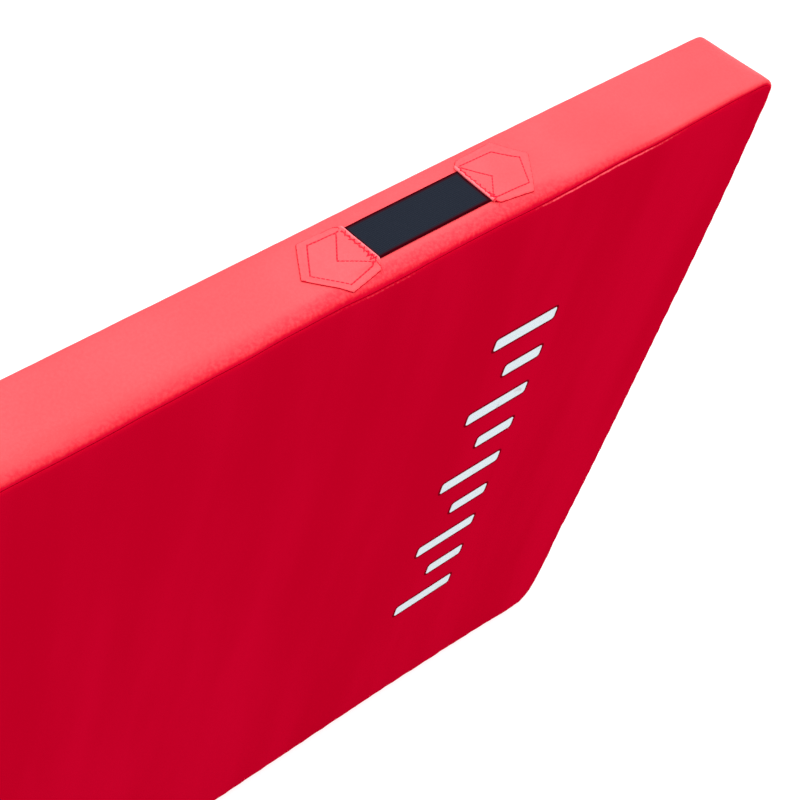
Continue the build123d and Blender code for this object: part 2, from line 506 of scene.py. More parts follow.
@dataclass(frozen=True)
class Vinyl(Finish):
    """Embossed vinyl, gathered beside its seams and darkened there by painted shade, with painted highlights
    on some lips and folds.

    A band gives the levels of noise, or of the seam's shade, between which its effect
    grows.

    Attributes:
        seam_colour: colour in the seam's shadow, linear RGB.
        edge_colour: colour beside a seam, linear RGB; on the border's roll and round the patches' stitches
            it is a painted shade.
        rim_colour: colour where the rim share is full, linear RGB: a painted highlight beside the panels'
            seams and along the patches' folds, a painted shade down the border's roll.
        bloom_colour: colour of the paler mottling, linear RGB.
        gather: scale per axis of the small puckers beside a seam, in 1/m.
        mottle: scale per axis of the slow colour drift, in 1/m.
        mottle_band: noise over which the mottling turns paler.
        grain: embossed grain, in cells per metre.
        grain_depth: depth of the grain, in metres.
        fibre: scale of the backing's fibres, as a share of the grain's.
        fibre_share: height of the fibres over that of the cells.
        fibre_band: noise over which the fibres make the surface rougher.
        roughened: how far the roughness goes under and over its mean.
        gather_depth: depth of the puckers, in metres.
        gather_band: seam shade over which the puckers grow.
        edge_band: seam shade over which the edge colour shows.
        seam_band: seam shade over which the seam's shadow shows.
        dull_band: seam shade over which the vinyl is dulled.
        sheen_band: dulling over which the sheen fades to none.
        onset: rim share at which the rim colour starts to show.
        speck: scale of the finest mottling, in 1/m.
        speck_band: noise over which it lets more of the rim colour show.
        rim_specks: least and greatest share of the rim colour that shows, in the finest mottling.
        gap: scale per axis of the breaks in the painted rim strip, in 1/m.
        gap_band: noise over which the strip comes back.
        breaks: least share of it where the painted rim strip breaks off along the mat.
    """

    seam_colour: Triple = (0.2, 0.0, 0.008)
    edge_colour: Triple = (0.56, 0.0006, 0.0165)
    rim_colour: Triple = (0.92, 0.10, 0.125)
    bloom_colour: Triple = (0.6, 0.01, 0.03)
    gather: Triple = (110.0, 22.0, 40.0)
    mottle: Triple = (9.0, 9.0, 1.6)
    mottle_band: Point = (0.3, 0.72)
    grain: float = 620.0
    grain_depth: float = 0.00012
    fibre: float = 0.55
    fibre_share: float = 1.4
    fibre_band: Point = (0.3, 0.7)
    roughened: Point = (0.05, 0.06)
    gather_depth: float = 0.0018
    gather_band: Point = (0.12, 0.9)
    edge_band: Point = (0.55, 0.82)
    seam_band: Point = (0.9, 1.0)
    dull_band: Point = (0.6, 0.78)
    sheen_band: Point = (0.0, 0.8)
    onset: float = 0.3
    speck: float = 260.0
    speck_band: Point = (0.3, 0.7)
    rim_specks: Point = (0.75, 1.2)
    gap: Triple = (7.0, 30.0, 7.0)
    gap_band: Point = (0.3, 0.45)
    breaks: float = 0.35

    def detail(self, on: Shading) -> None:
        """Add the grain, the puckers, the colour drift, and the painted shade and highlights beside the
        seams.

        Args:
            on: the material's nodes.
        """
        seam, rim = on.attribute("seam"), on.attribute("rim")
        drift = on.ramp(on.noise(self.mottle, detail=3.0), self.mottle_band)
        colour = on.blend(drift, self.colour, self.bloom_colour)
        # Painted shade and highlights beside the seams: the edge colour, the rim colour and the seam's
        # painted shadow.
        colour = on.blend(on.ramp(seam, self.edge_band), colour, self.edge_colour)
        specks = on.ramp(on.noise((self.speck,) * 3), self.speck_band, self.rim_specks)
        rim_paint = on.ramp(on.times(rim, specks), (self.onset, 1.0))
        strip = on.ramp(on.noise(self.gap), self.gap_band, (self.breaks, 1.0))
        colour = on.blend(on.times(rim_paint, strip), colour, self.rim_colour)
        colour = on.blend(on.ramp(seam, self.seam_band), colour, self.seam_colour)
        dulled = on.maths("MAXIMUM", rim_paint, on.ramp(seam, self.dull_band))
        sheen = on.ramp(dulled, self.sheen_band, (self.gloss, 0.0))

        fibres = on.noise((self.grain * self.fibre,) * 3, detail=4.0)
        emboss = on.maths("ADD", on.cells(self.grain), on.times(fibres, self.fibre_share))
        smoother, rougher = self.roughened
        rough = on.ramp(
            fibres, self.fibre_band, (self.roughness - smoother, self.roughness + rougher)
        )
        skin = on.relief(emboss, self.grain_depth, 1.0)
        gathered = on.times(on.noise(self.gather), on.ramp(seam, self.gather_band))
        puckered = on.relief(gathered, self.gather_depth, 1.0, Normal=skin)
        on.lay(Base_Color=colour, Specular_IOR_Level=sheen, Roughness=rough, Normal=puckered)


@dataclass(frozen=True)
class Webbing(Finish):
    """Tightly woven webbing.

    Attributes:
        thread_colour: colour of the threads' crowns, linear RGB.
        pitch: spacing of the ribs along the strap, in metres.
        warp: spacing of the threads across the strap, in metres.
        depth: depth of the weave, in metres.
        strength: how strongly the weave's relief shows.
        shade_colour: colour of the painted shadow and red reflection of the cover beside it, linear RGB.
        rib_share: height of the ribs over that of the threads.
        fuzz: scale of the loose fibres, in 1/m.
        fuzz_share: height of the loose fibres over that of the threads.
        crown_band: heights of the weave between which the crowns' colour shows.
    """

    thread_colour: Triple = (0.02, 0.03, 0.045)
    pitch: float = 0.0016
    warp: float = 0.0021
    depth: float = 0.0003
    strength: float = 0.9
    shade_colour: Triple = (0.032, 0.0, 0.002)
    rib_share: float = 0.5
    fuzz: float = 1800.0
    fuzz_share: float = 0.5
    crown_band: Point = (-0.3, 1.6)

    def detail(self, on: Shading) -> None:
        """Add the weave as interlaced ribs.

        Args:
            on: the material's nodes.
        """
        split = on.node("SeparateXYZ", Vector=on.node("TexCoord").outputs["UV"])
        rib = on.maths("SINE", on.times(split.outputs["X"], 2 * math.pi / self.pitch))
        thread = on.maths("SINE", on.times(split.outputs["Y"], math.pi / self.warp))
        woven = on.times(on.times(rib, thread), self.rib_share)
        height = on.maths("ADD", woven, on.maths("ABSOLUTE", thread))
        loose = on.noise((self.fuzz,) * 3, detail=3.0)
        height = on.maths("ADD", height, on.times(loose, self.fuzz_share))
        colour = on.blend(on.ramp(height, self.crown_band), self.colour, self.thread_colour)
        # Painted shadow and red reflection of the cover along the selvages and the folds.
        shade = on.attribute("shade")
        on.lay(
            Base_Color=on.blend(shade, colour, self.shade_colour),
            Specular_IOR_Level=on.ramp(shade, (0.0, 1.0), (self.gloss, 0.0)),
            Normal=on.relief(height, self.depth, self.strength),
        )


@dataclass(frozen=True)
class Thread(Finish):
    """Twisted sewing thread.

    Attributes:
        shade: colour between the strands, linear RGB.
        twist: scale of the strands, in 1/m.
        slant: how much coarser they are across the mat's thickness.
        depth: depth between the strands, in metres.
        strength: how strongly that depth shows.
    """

    shade: Triple = (0.3, 0.0, 0.01)
    twist: float = 900.0
    slant: float = 0.6
    depth: float = 0.0001
    strength: float = 0.6

    def detail(self, on: Shading) -> None:
        """Add slanting strands.

        Args:
            on: the material's nodes.
        """
        strands = on.node(
            "TexWave", Vector=on.scaled((self.twist, self.twist * self.slant, self.twist)),
            Scale=0.4, Distortion=1.0, bands_direction="DIAGONAL",
        ).outputs["Fac"]
        on.lay(
            Base_Color=on.blend(strands, self.shade, self.colour),
            Normal=on.relief(strands, self.depth, self.strength),
        )


@dataclass(frozen=True)
class Ink(Finish):
    """Thick screen-printed ink over embossed vinyl.

    Attributes:
        worn_colour: colour where the ink is thin, linear RGB.
        base_colour: colour of the base coat under it, linear RGB.
        wear: scale of the thin places, in 1/m.
        wear_band: noise over which the ink gets thin.
        grain: the vinyl's grain, in cells per metre.
        grain_depth: how deep the grain still is, in metres.
        strength: how strongly it shows.
    """

    worn_colour: Triple = (0.5, 0.47, 0.5)
    base_colour: Triple = (0.18, 0.0005, 0.0065)
    wear: float = 60.0
    wear_band: Point = (0.58, 0.8)
    grain: float = 620.0
    grain_depth: float = 0.00006
    strength: float = 0.8

    def detail(self, on: Shading) -> None:
        """Add the faint grain that comes through, a little wear and the base coat.

        Args:
            on: the material's nodes.
        """
        thin = on.ramp(on.noise((self.wear,) * 3, detail=6.0), self.wear_band)
        colour = on.blend(thin, self.colour, self.worn_colour)
        base = on.attribute("base")
        on.lay(
            Base_Color=on.blend(base, colour, self.base_colour),
            Specular_IOR_Level=on.ramp(base, (0.0, 1.0), (self.gloss, 0.0)),
            Normal=on.relief(on.cells(self.grain), self.grain_depth, self.strength),
        )


@dataclass(frozen=True)
class Foam(Finish):
    """Open polyurethane foam.

    Attributes:
        pore_colour: colour in the pores, linear RGB.
        pores: pores per metre.
        pore_band: distances from a pore's middle between which its colour fades.
        depth: the pores' depth, in metres.
        strength: how strongly it shows.
    """

    pore_colour: Triple = (0.5, 0.42, 0.25)
    pores: float = 700.0
    pore_band: Point = (0.1, 0.5)
    depth: float = 0.0006
    strength: float = 0.8

    def detail(self, on: Shading) -> None:
        """Add the pores.

        Args:
            on: the material's nodes.
        """
        pores = on.cells(self.pores, "F1")
        on.lay(
            Base_Color=on.blend(on.ramp(pores, self.pore_band), self.pore_colour, self.colour),
            Normal=on.relief(pores, self.depth, self.strength),
        )


@dataclass(frozen=True)
class Metal(Finish):
    """Cast and enamelled zip metal, brushed by use.

    Attributes:
        worn_colour: colour where the enamel is rubbed, linear RGB.
        metallic: how metallic it is.
        rub: scale per axis of the rubbed patches, in 1/m.
        rub_band: noise over which the enamel is rubbed through.
        dull_band: noise over which the surface gets rougher.
        roughened: how far the roughness goes under and over its mean.
        scratch: scale per axis of the scratches, in 1/m.
        scratch_depth: their depth, in metres.
        strength: how strongly they show.
    """

    worn_colour: Triple = (0.5, 0.48, 0.46)
    metallic: float = 1.0
    rub: Triple = (220.0, 220.0, 90.0)
    rub_band: Point = (0.5, 0.72)
    dull_band: Point = (0.3, 0.7)
    roughened: Point = (0.08, 0.1)
    scratch: Triple = (3000.0, 3000.0, 300.0)
    scratch_depth: float = 0.00002
    strength: float = 0.5

    def detail(self, on: Shading) -> None:
        """Add the rubbed patches and fine scratches.

        Args:
            on: the material's nodes.
        """
        rub = on.noise(self.rub, detail=5.0)
        smoother, rougher = self.roughened
        levels = (self.roughness - smoother, self.roughness + rougher)
        on.lay(
            Metallic=self.metallic,
            Base_Color=on.blend(on.ramp(rub, self.rub_band), self.colour, self.worn_colour),
            Roughness=on.ramp(rub, self.dull_band, levels),
            Normal=on.relief(on.noise(self.scratch), self.scratch_depth, self.strength),
        )


DEEP_RED = (0.49, 0.0006, 0.016)
SEAM_RED = (0.48, 0.0, 0.015)
# Painted shade of the border's roll as it turns into a seam.
ROLL_SHADE_RED = (0.60, 0.0015, 0.022)
BLACK = (0.012, 0.012, 0.014)
WORN_BLACK = (0.03, 0.03, 0.034)
# The panels keep the default rim colour: a painted highlight beside their seams.
PANEL_VINYL = Vinyl(
    "panel vinyl", (0.445, 0.0, 0.0148), roughness=0.6, gloss=0.0,
    bloom_colour=(0.49, 0.0004, 0.0188), edge_colour=DEEP_RED, seam_colour=SEAM_RED,
    gather_depth=0.0006,
)
# The border, its ends and the patches are the panels' vinyl; their paler, pinker base and mottling colours
# are a painted sheen of their tops under the overhead light.
BORDER_VINYL = Vinyl(
    "border vinyl", (0.68, 0.038, 0.047), roughness=0.55, gloss=0.28,
    bloom_colour=(0.72, 0.047, 0.057), edge_colour=ROLL_SHADE_RED, rim_colour=ROLL_SHADE_RED,
    seam_colour=SEAM_RED, mottle=(7.0, 7.0, 7.0), grain=520.0, onset=0.0, rim_specks=(0.8, 1.12),
    breaks=0.9,
)
END_VINYL = replace(BORDER_VINYL, name="end border vinyl", gather=(40.0, 22.0, 110.0))
# On the patches the rim colour is a painted highlight along the fold and the edge colour a painted shade
# round the stitches.
PATCH_VINYL = Vinyl(
    "patch vinyl", (0.70, 0.044, 0.054), roughness=0.55, gloss=0.30,
    bloom_colour=(0.74, 0.053, 0.064), edge_colour=(0.68, 0.023, 0.036),
    rim_colour=(0.86, 0.15, 0.17), seam_colour=(0.5, 0.0, 0.02), mottle=(12.0, 12.0, 12.0),
    gather=(120.0, 120.0, 60.0), grain=560.0, gather_depth=0.0004,
)
STRAP_WEAVE = Webbing(
    "woven strap", (0.004, 0.006, 0.011), roughness=0.85, gloss=0.08,
    thread_colour=(0.009, 0.0125, 0.022),
)
PATCH_THREAD = Thread(
    "patch thread", (0.9, 0.010, 0.036), roughness=0.7, gloss=0.05, shade=(0.72, 0.004, 0.026)
)
SEAM_THREAD = Thread(
    "seam thread", (0.6, 0.0, 0.02), roughness=0.7, gloss=0.05, shade=(0.44, 0.0, 0.014)
)
SCALE_INK = Ink("scale ink", (0.62, 0.70, 0.74), roughness=0.55, gloss=0.1)
CORE_FOAM = Foam("core foam", (0.72, 0.64, 0.42), roughness=0.9, gloss=0.2)
ZIP_WEAVE = Webbing(
    "zip tape weave", BLACK, roughness=0.8, gloss=0.3, thread_colour=WORN_BLACK, pitch=0.0009,
    warp=0.0006, depth=0.00012,
)
ZIP_PLASTIC = Metal(
    "zip teeth plastic", BLACK, roughness=0.35, gloss=0.5, worn_colour=WORN_BLACK, metallic=0.0
)
ZIP_METAL = Metal("zip slider metal", (0.30, 0.29, 0.28), roughness=0.34, gloss=0.5)


# ---- The stuffed form ----


@dataclass(frozen=True)
class StuffedForm:
    """How the stuffed mat departs from its nominal block.

    Attributes:
        half_length: half the mat's length.
        half_depth: half its thickness.
        foot: height of its underside.
        head: height of its top.
        roll: nominal radius over which the border turns onto a face.
        crown: how far the top border swells between its seams.
        end_crown: how far the plain end swells.
        sag: how far the underside settles between the handles.
        dent: how far the lower handles press up into the stuffing.
        brink: rise of the top border's front shoulder along the mat.
        seam: rise of the upper front seam along the mat.
        back_brink: rise of the top border's back shoulder along the mat.
        back_seam: rise of the upper back seam along the mat.
        end_lean: push of the plain end, by height.
        foot_settle: how the underside's edges lie along the mat.
        foot_swell: how far the faces spread just over the floor, along the mat.
        handle: distance of the handles from the mat's middle.
        plump: power of a crown's curve.
        end_fade: distance from an end over which the long edges' forms fade.
        front_shoulder: where the front shoulder starts and is full, from the middle
            plane, as a share of half the thickness.
        back_shoulder: the same for the back shoulder.
        seam_cross: share of half the thickness inside which one seam's rise gives way
            to the other's.
        brow: share of the height from which the top's forms set in.
        foot_front: share of half the thickness at which the foot's front form starts.
        leaning: shares of half the length between which the plain end's lean sets in.
        back_lean: the back's share of it.
        end_swelling: places along the mat between which the plain end's swell sets in.
        end_rim: share of the height over which that swell fades at the top and foot.
        foot_edge: share of the height up to which the underside's edges settle.
        spreading: shares of the height between which the foot's spread sets in.
        back_spread: the back's share of it.
        by_handle: distances from a lower handle between which the underside sags.
        underside: share of the height that counts as the underside.
        dent_edge: distance from the seams over which the dent fades.
    """

    half_length: float = 1.0
    half_depth: float = 0.05
    handle: float = 0.5
    foot: float = 0.0025
    head: float = 1.0025
    roll: float = 0.006
    crown: float = 0.0066
    end_crown: float = 0.004
    sag: float = 0.0018
    dent: float = 0.0019
    plump: float = 2.5
    end_fade: float = 0.05
    front_shoulder: Point = (-0.45, -0.88)
    back_shoulder: Point = (0.30, 0.86)
    seam_cross: float = 0.8
    brow: float = 0.7
    foot_front: float = 0.2
    leaning: Point = (0.5, 1.0)
    back_lean: float = 0.3
    end_swelling: Point = (0.95, 0.99)
    end_rim: float = 0.05
    foot_edge: float = 0.14
    spreading: Point = (0.16, 0.02)
    back_spread: float = 0.5
    by_handle: Point = (0.17, 0.24)
    underside: float = 0.04
    dent_edge: float = 0.006
    brink: Table = (
        (-1.0, 0.002), (-0.9, 0.003), (-0.7, 0.005), (-0.5, 0.006), (-0.35, 0.005),
        (-0.15, 0.001), (0.0, -0.001), (0.06, -0.001), (0.103, 0.0), (0.187, 0.0015),
        (0.23, 0.0022), (0.26, 0.0045), (0.31, 0.0066), (0.35, 0.0072), (0.385, 0.0054),
        (0.45, 0.0045), (0.52, 0.0052), (0.6, 0.005), (0.68, 0.0032), (0.742, 0.0042),
        (0.802, 0.0028), (0.861, 0.0046), (0.923, 0.0062), (1.0, 0.004),
    )
    seam: Table = (
        (-1.0, 0.0), (-0.9, 0.001), (-0.7, 0.001), (-0.5, 0.002), (-0.35, 0.001),
        (-0.15, -0.002), (0.02, -0.0039), (0.062, -0.0039), (0.103, -0.0022), (0.145, -0.0022),
        (0.187, -0.0005), (0.231, -0.0003), (0.26, 0.0018), (0.30, 0.0026), (0.35, 0.0032),
        (0.385, 0.0009), (0.45, 0.0004), (0.467, 0.0016), (0.572, 0.0018), (0.607, 0.0003),
        (0.68, 0.0001), (0.742, 0.0021), (0.802, 0.0003), (0.861, 0.0024), (0.923, 0.0045),
        (1.0, 0.003),
    )
    back_brink: Table = (
        (-1.0, 0.001), (-0.9, 0.0055), (-0.5, 0.0075), (0.0, 0.0077), (0.3, 0.0085),
        (0.5, 0.0102), (0.7, 0.0102), (0.9, 0.0088), (0.97, 0.006), (1.0, 0.001),
    )
    back_seam: Table = (
        (-1.0, 0.0), (-0.5, 0.004), (0.0, 0.004), (0.6, 0.006), (0.9, 0.005), (1.0, 0.002),
    )
    end_lean: Table = (
        (0.0, -0.016), (0.034, -0.0115), (0.073, -0.005), (0.214, 0.007), (0.390, 0.0165),
        (0.552, 0.0228), (0.702, 0.028), (0.842, 0.030), (0.942, 0.028), (1.002, 0.024),
    )
    foot_settle: Table = (
        (-1.0, -0.0022), (-0.9, -0.002), (-0.74, -0.001), (-0.68, 0.0), (-0.5, 0.0),
        (-0.32, 0.0), (-0.25, -0.001), (0.0, -0.0015), (0.25, -0.001), (0.32, 0.0), (0.5, 0.0),
        (0.68, 0.0), (0.74, -0.001), (0.9, -0.002), (1.0, -0.0022),
    )
    foot_swell: Table = (
        (-1.0, 0.003), (-0.8, 0.004), (0.0, 0.003), (0.6, 0.004), (0.8, 0.006), (0.9, 0.0085),
        (0.935, 0.0102), (0.96, 0.0102), (0.985, 0.0055), (0.993, 0.0032), (1.0, 0.003),
    )

    def swell(self, y: float) -> float:
        """Return the share of a crown at a place through the thickness."""
        return 1 - min(abs(y) / self.half_depth, 1.0) ** self.plump

    def clear_of_end(self, x: float) -> float:
        """Return the share of a long edge's form that is left near an end."""
        return smooth(self.half_length, self.half_length - self.end_fade, abs(x))

    def head_rise(self, x: float, y: float, z: float) -> float:
        """Find how far the top edge of the stuffed mat stands over the nominal block.

        Args:
            x: place along the mat.
            y: place through its thickness.
            z: height.

        Returns:
            The rise.
        """
        depth = y / self.half_depth
        front = smooth(*self.front_shoulder, depth)
        back = smooth(*self.back_shoulder, depth)
        on_top = self.crown * self.clear_of_end(x) * (1 - front - back)
        on_top += front * read_off(self.brink, x) + back * read_off(self.back_brink, x)
        towards_front = smooth(self.seam_cross, -self.seam_cross, depth)
        at_seam = towards_front * read_off(self.seam, x)
        at_seam += (1 - towards_front) * read_off(self.back_seam, x)
        down = min(max((self.head - z) / self.roll, 0.0), 1.0)
        return on_top * (1 - down) + at_seam * down

    def settle(self, nominal: Vector) -> Vector:
        """Move a point of the nominal block to where the stuffed mat has it.

        Args:
            nominal: the point on or near the nominal block.

        Returns:
            The settled point.
        """
        x, y, z = nominal
        rise = (z - self.foot) / (self.head - self.foot)
        depth = y / self.half_depth
        moved = Vector(nominal)
        if rise > self.brow:
            moved.z += self.head_rise(x, y, z) * smooth(self.brow, 1.0, rise)
        leaning = smooth(*self.leaning, x / self.half_length)
        front = min(max((1 - depth) / 2, 0.0), 1.0)
        leaning *= self.back_lean + (1 - self.back_lean) * front
        moved.x += read_off(self.end_lean, z) * leaning
        inside = smooth(1.0, 1.0 - self.end_rim, rise) * smooth(0.0, self.end_rim, rise)
        moved.x += self.end_crown * self.swell(y) * smooth(*self.end_swelling, x) * inside
        at_edge = smooth(self.foot_edge, 0.0, rise) * (1 - self.swell(y))
        moved.z += read_off(self.foot_settle, x) * at_edge
        front = smooth(self.foot_front, -1.0, depth)
        spread = read_off(self.foot_swell, x) * smooth(*self.spreading, rise)
        moved.y += spread * depth * (self.back_spread + (1 - self.back_spread) * front)
        between = smooth(*self.by_handle, abs(abs(x) - self.handle))
        underneath = smooth(self.underside, 0.0, rise)
        moved.z -= self.sag * self.swell(y) * underneath * between * self.clear_of_end(x)
        covered = smooth(self.half_depth, self.half_depth - self.dent_edge, abs(y))
        moved.z += self.dent * (1 - between) * underneath * covered
        moved.z = max(moved.z, OFF_FLOOR)
        return moved


# ---- The cover ----

# Each section's node, finish, slot and size as cut from the roll, flat.
Part = tuple[str, Finish, Slot, Point]
PANEL = (2.0, 1.0)
LONG_STRIP = (0.13, 2.12)
END_STRIP = (0.13, 0.89)
HALF_END_STRIP = (0.055, 0.89)
SECTIONS: dict[Section, Part] = {
    Section.FACE: ("face_panel", PANEL_VINYL, Slot.PANEL, PANEL),
    Section.BACK: ("back_panel", PANEL_VINYL, Slot.PANEL, PANEL),
    Section.TOP: ("top_border", BORDER_VINYL, Slot.BORDER, LONG_STRIP),
    Section.BOTTOM: ("bottom_border", BORDER_VINYL, Slot.BORDER, LONG_STRIP),
    Section.RIGHT: ("right_end_border", END_VINYL, Slot.BORDER, END_STRIP),
    Section.LEFT_FRONT: ("left_end_border_front", END_VINYL, Slot.BORDER, HALF_END_STRIP),
    Section.LEFT_BACK: ("left_end_border_back", END_VINYL, Slot.BORDER, HALF_END_STRIP),
}


@dataclass
class Cover:
    """The sewn vinyl cover: two flat panels and a border in strips.

    Attributes:
        form: the stuffed mat's form.
        roll: radius over which the border turns onto a face.
        corner: plan radius of the mat's corners.
        skirt: how far the long strips run on round the ends.
        window: width of the opening that the zip closes.
        grid: spacing of the mesh.
        gridded: how far from the middle the mesh is evenly spaced along the mat.
        skirt_rows: heights from the middle of the mesh's rows on the long strips' skirts.
        border_lanes: distances from the middle plane of the border's rows.
        panel_rings: spacing of the mesh's rings round a panel, from the seam inwards.
        vinyl: thickness of the vinyl.
        tuck: depth of the seam allowance that turns in.
        gap: how far each section's edge stops short of the seam.
        lip: steps over the edge, as way out, way down and seam shade.
        lip_shade: seam shade where the lip starts.
        valley: how far the surface dips to meet a seam.
        valley_reach: distance from the seam over which it dips.
        shade_reach: distance from the seam over which its shade fades.
        shade: the deepest shade outside the seam.
        panel_rim: where the painted highlight beside a seam starts and stops on a panel.
        back_reach_share: the back's share of the front's reach.
        reach: how far the painted shade reaches down the border's roll from a seam, along the mat.
        roll_shade: how strong that painted shade is, over that reach.
        top_seam_highlight: how strong the painted highlight on the panels is at the top seams, along the
            mat.
        top_strip: depth of the strip beside the top seams that is highlighted so.
        other_seam_highlight: how strong the painted highlight on the panels is at the other seams.
        swell_panel: furthest that stuffing moves a panel.
        swell_border: furthest that it moves the border.
        steps: length of the simulation that settles the cover, in frames.
        zip_hold: distance from the middle plane over which the zip holds the end.
        nudges: side steps tried in turn where a probe slips between two faces.
        skew: share of a side step that is taken along the other axis as well.
        probe_heights: heights that the border is probed from, below and above the mat.
        probe_front: place in front of the mat that its face is probed from.
        probe_length: how far a probe goes.
        skin: the settled cover's outside, once it is built.
        seams: the front and back seams' points, once it is built.
    """

    form: StuffedForm = field(default_factory=StuffedForm)
    roll: float = 0.006
    corner: float = 0.025
    skirt: float = 0.060
    window: float = 0.024
    grid: float = 0.0125
    gridded: float = 0.9625
    skirt_rows: tuple[float, ...] = (0.4525, 0.465)
    border_lanes: tuple[float, ...] = (0.004, 0.024, 0.034)
    panel_rings: tuple[float, ...] = (0.0015, 0.0015, 0.0015, 0.003, 0.005, 0.006)
    vinyl: float = 0.001
    tuck: float = 0.004
    gap: float = 0.001
    lip: tuple[Triple, ...] = (
        (0.0004, 0.0002, 0.88), (0.0003, 0.0004, 0.94), (0.00015, 0.0006, 0.98),
    )
    lip_shade: float = 0.8
    valley: float = 0.0016
    valley_reach: float = 0.0042
    shade_reach: float = 0.009
    shade: float = 0.78
    panel_rim: Point = (0.0042, 0.0022)
    back_reach_share: float = 0.25
    reach: Table = (
        (0.0, 0.019), (0.085, 0.022), (0.226, 0.024), (0.295, 0.027), (0.365, 0.030),
        (0.435, 0.028), (0.573, 0.028), (0.643, 0.025), (0.7125, 0.016), (0.78, 0.011),
        (0.85, 0.008), (1.0, 0.008),
    )
    roll_shade: Table = (
        (0.0, 1.0), (0.05, 0.94), (0.1, 0.82), (0.16, 0.67), (0.23, 0.55), (0.32, 0.5),
        (0.42, 0.48), (0.6, 0.43), (0.77, 0.33), (1.0, 0.0),
    )
    top_seam_highlight: Table = (
        (0.0, 0.3), (0.27, 0.15), (0.36, 0.45), (0.435, 0.5), (0.5, 0.1), (0.59, 0.1),
        (0.643, 0.8), (0.7125, 1.05), (0.78, 0.9), (0.85, 0.35), (1.0, 0.2),
    )
    swell_panel: float = 0.0028
    swell_border: float = 0.0016
    top_strip: float = 0.04
    other_seam_highlight: float = 0.25
    steps: int = 16
    zip_hold: float = 0.02
    nudges: tuple[float, ...] = (0.0, 0.0002, -0.0003, 0.0005)
    skew: float = 0.7
    probe_heights: Point = (-0.2, 1.2)
    probe_front: float = -0.3
    probe_length: float = 0.3
    skin: Optional[BVHTree] = None
    seams: dict[str, list[Vector]] = field(default_factory=dict)

    @property
    def middle(self) -> float:
        """Height of the mat's middle."""
        return (self.form.foot + self.form.head) / 2

    @property
    def half_height(self) -> float:
        """Half the mat's height."""
        return (self.form.head - self.form.foot) / 2

    def shell(self) -> Mesh:
        """Make the nominal outside of the cover as one closed grid.

        Returns:
            The shell, with each face's section as its material index.
        """
        form = self.form
        mesh = bmesh.new()
        size = (2 * form.half_length, 2 * form.half_depth, 2 * self.half_height)
        add_box(mesh, (0.0, 0.0, self.middle), size)
        round_off(mesh, edges_along(mesh, 1), self.corner, steps=7)
        through = set(edges_along(mesh, 1))
        round_off(mesh, [e for e in mesh.edges if e not in through], self.roll, steps=5)
        mesh.normal_update()
        for side, section in ((-1, Section.FACE), (1, Section.BACK)):
            panel = max(mesh.faces, key=lambda f: f.calc_center_median().y * side)
            for width in self.panel_rings:
                ring = bmesh.ops.inset_region(mesh, faces=[panel], thickness=width, depth=0.0)
                for f in ring["faces"]:
                    f.material_index = section.value
            panel.material_index = section.value
        lanes = (*self.border_lanes, self.window / 2)
        cut(mesh, 1, sorted([*lanes, *(-y for y in lanes)]))
        wide = 2 * self.gridded
        columns = round(wide / self.grid)
        cut(mesh, 0, [-self.gridded + wide * i / columns for i in range(columns + 1)])
        reach = self.half_height - self.skirt
        rows = round(2 * reach / self.grid)
        heights = [-reach + 2 * reach * i / rows for i in range(rows + 1)]
        heights += [side * z for side in (-1, 1) for z in self.skirt_rows]
        cut(mesh, 2, [self.middle + z for z in heights])
        flat = form.half_depth - FLUSH
        for f in mesh.faces:
            f.material_index = self.section_of(f, flat).value
        return mesh

    def section_of(self, face: Face, flat: float) -> Section:
        """Find which section of the cover a face of the nominal shell belongs to.

        Args:
            face: the face.
            flat: distance of the flat panels from the middle plane.

        Returns:
            The section.
        """
        if all(v.co.y < -flat for v in face.verts):
            return Section.FACE
        if all(v.co.y > flat for v in face.verts):
            return Section.BACK
        x, y, z = face.calc_center_median()
        if z > self.middle + self.half_height - self.skirt:
            return Section.TOP
        if z < self.middle - self.half_height + self.skirt:
            return Section.BOTTOM
        if x > 0:
            return Section.RIGHT
        if abs(y) < self.window / 2:
            return Section.WINDOW
        return Section.LEFT_FRONT if y < 0 else Section.LEFT_BACK

    def seam_distance(self, nominal: Vector) -> float:
        """Measure how far a nominal point lies from the nearest sewn seam.

        Args:
            nominal: the point.

        Returns:
            The distance, on a panel or level with it on the border.
        """
        x, y, z = nominal
        depth = self.form.half_depth
        inset = self.roll
        if abs(y) > depth - FLUSH:
            side = self.form.half_length - inset - abs(x)
            end = self.half_height - inset - abs(z - self.middle)
            return max(min(side, end), 0.0)
        rim = depth - abs(y)
        if abs(x) > self.form.half_length - inset:
            join = abs(abs(z - self.middle) - (self.half_height - self.skirt))
            return min(rim, join)
        return rim

    def round_roll(self, gap: float) -> float:
        """Turn a border's level distance from a seam into one along its rolled surface."""
        if gap < self.roll:
            return self.roll * math.acos(1 - gap / self.roll)
        return gap + (math.pi / 2 - 1) * self.roll

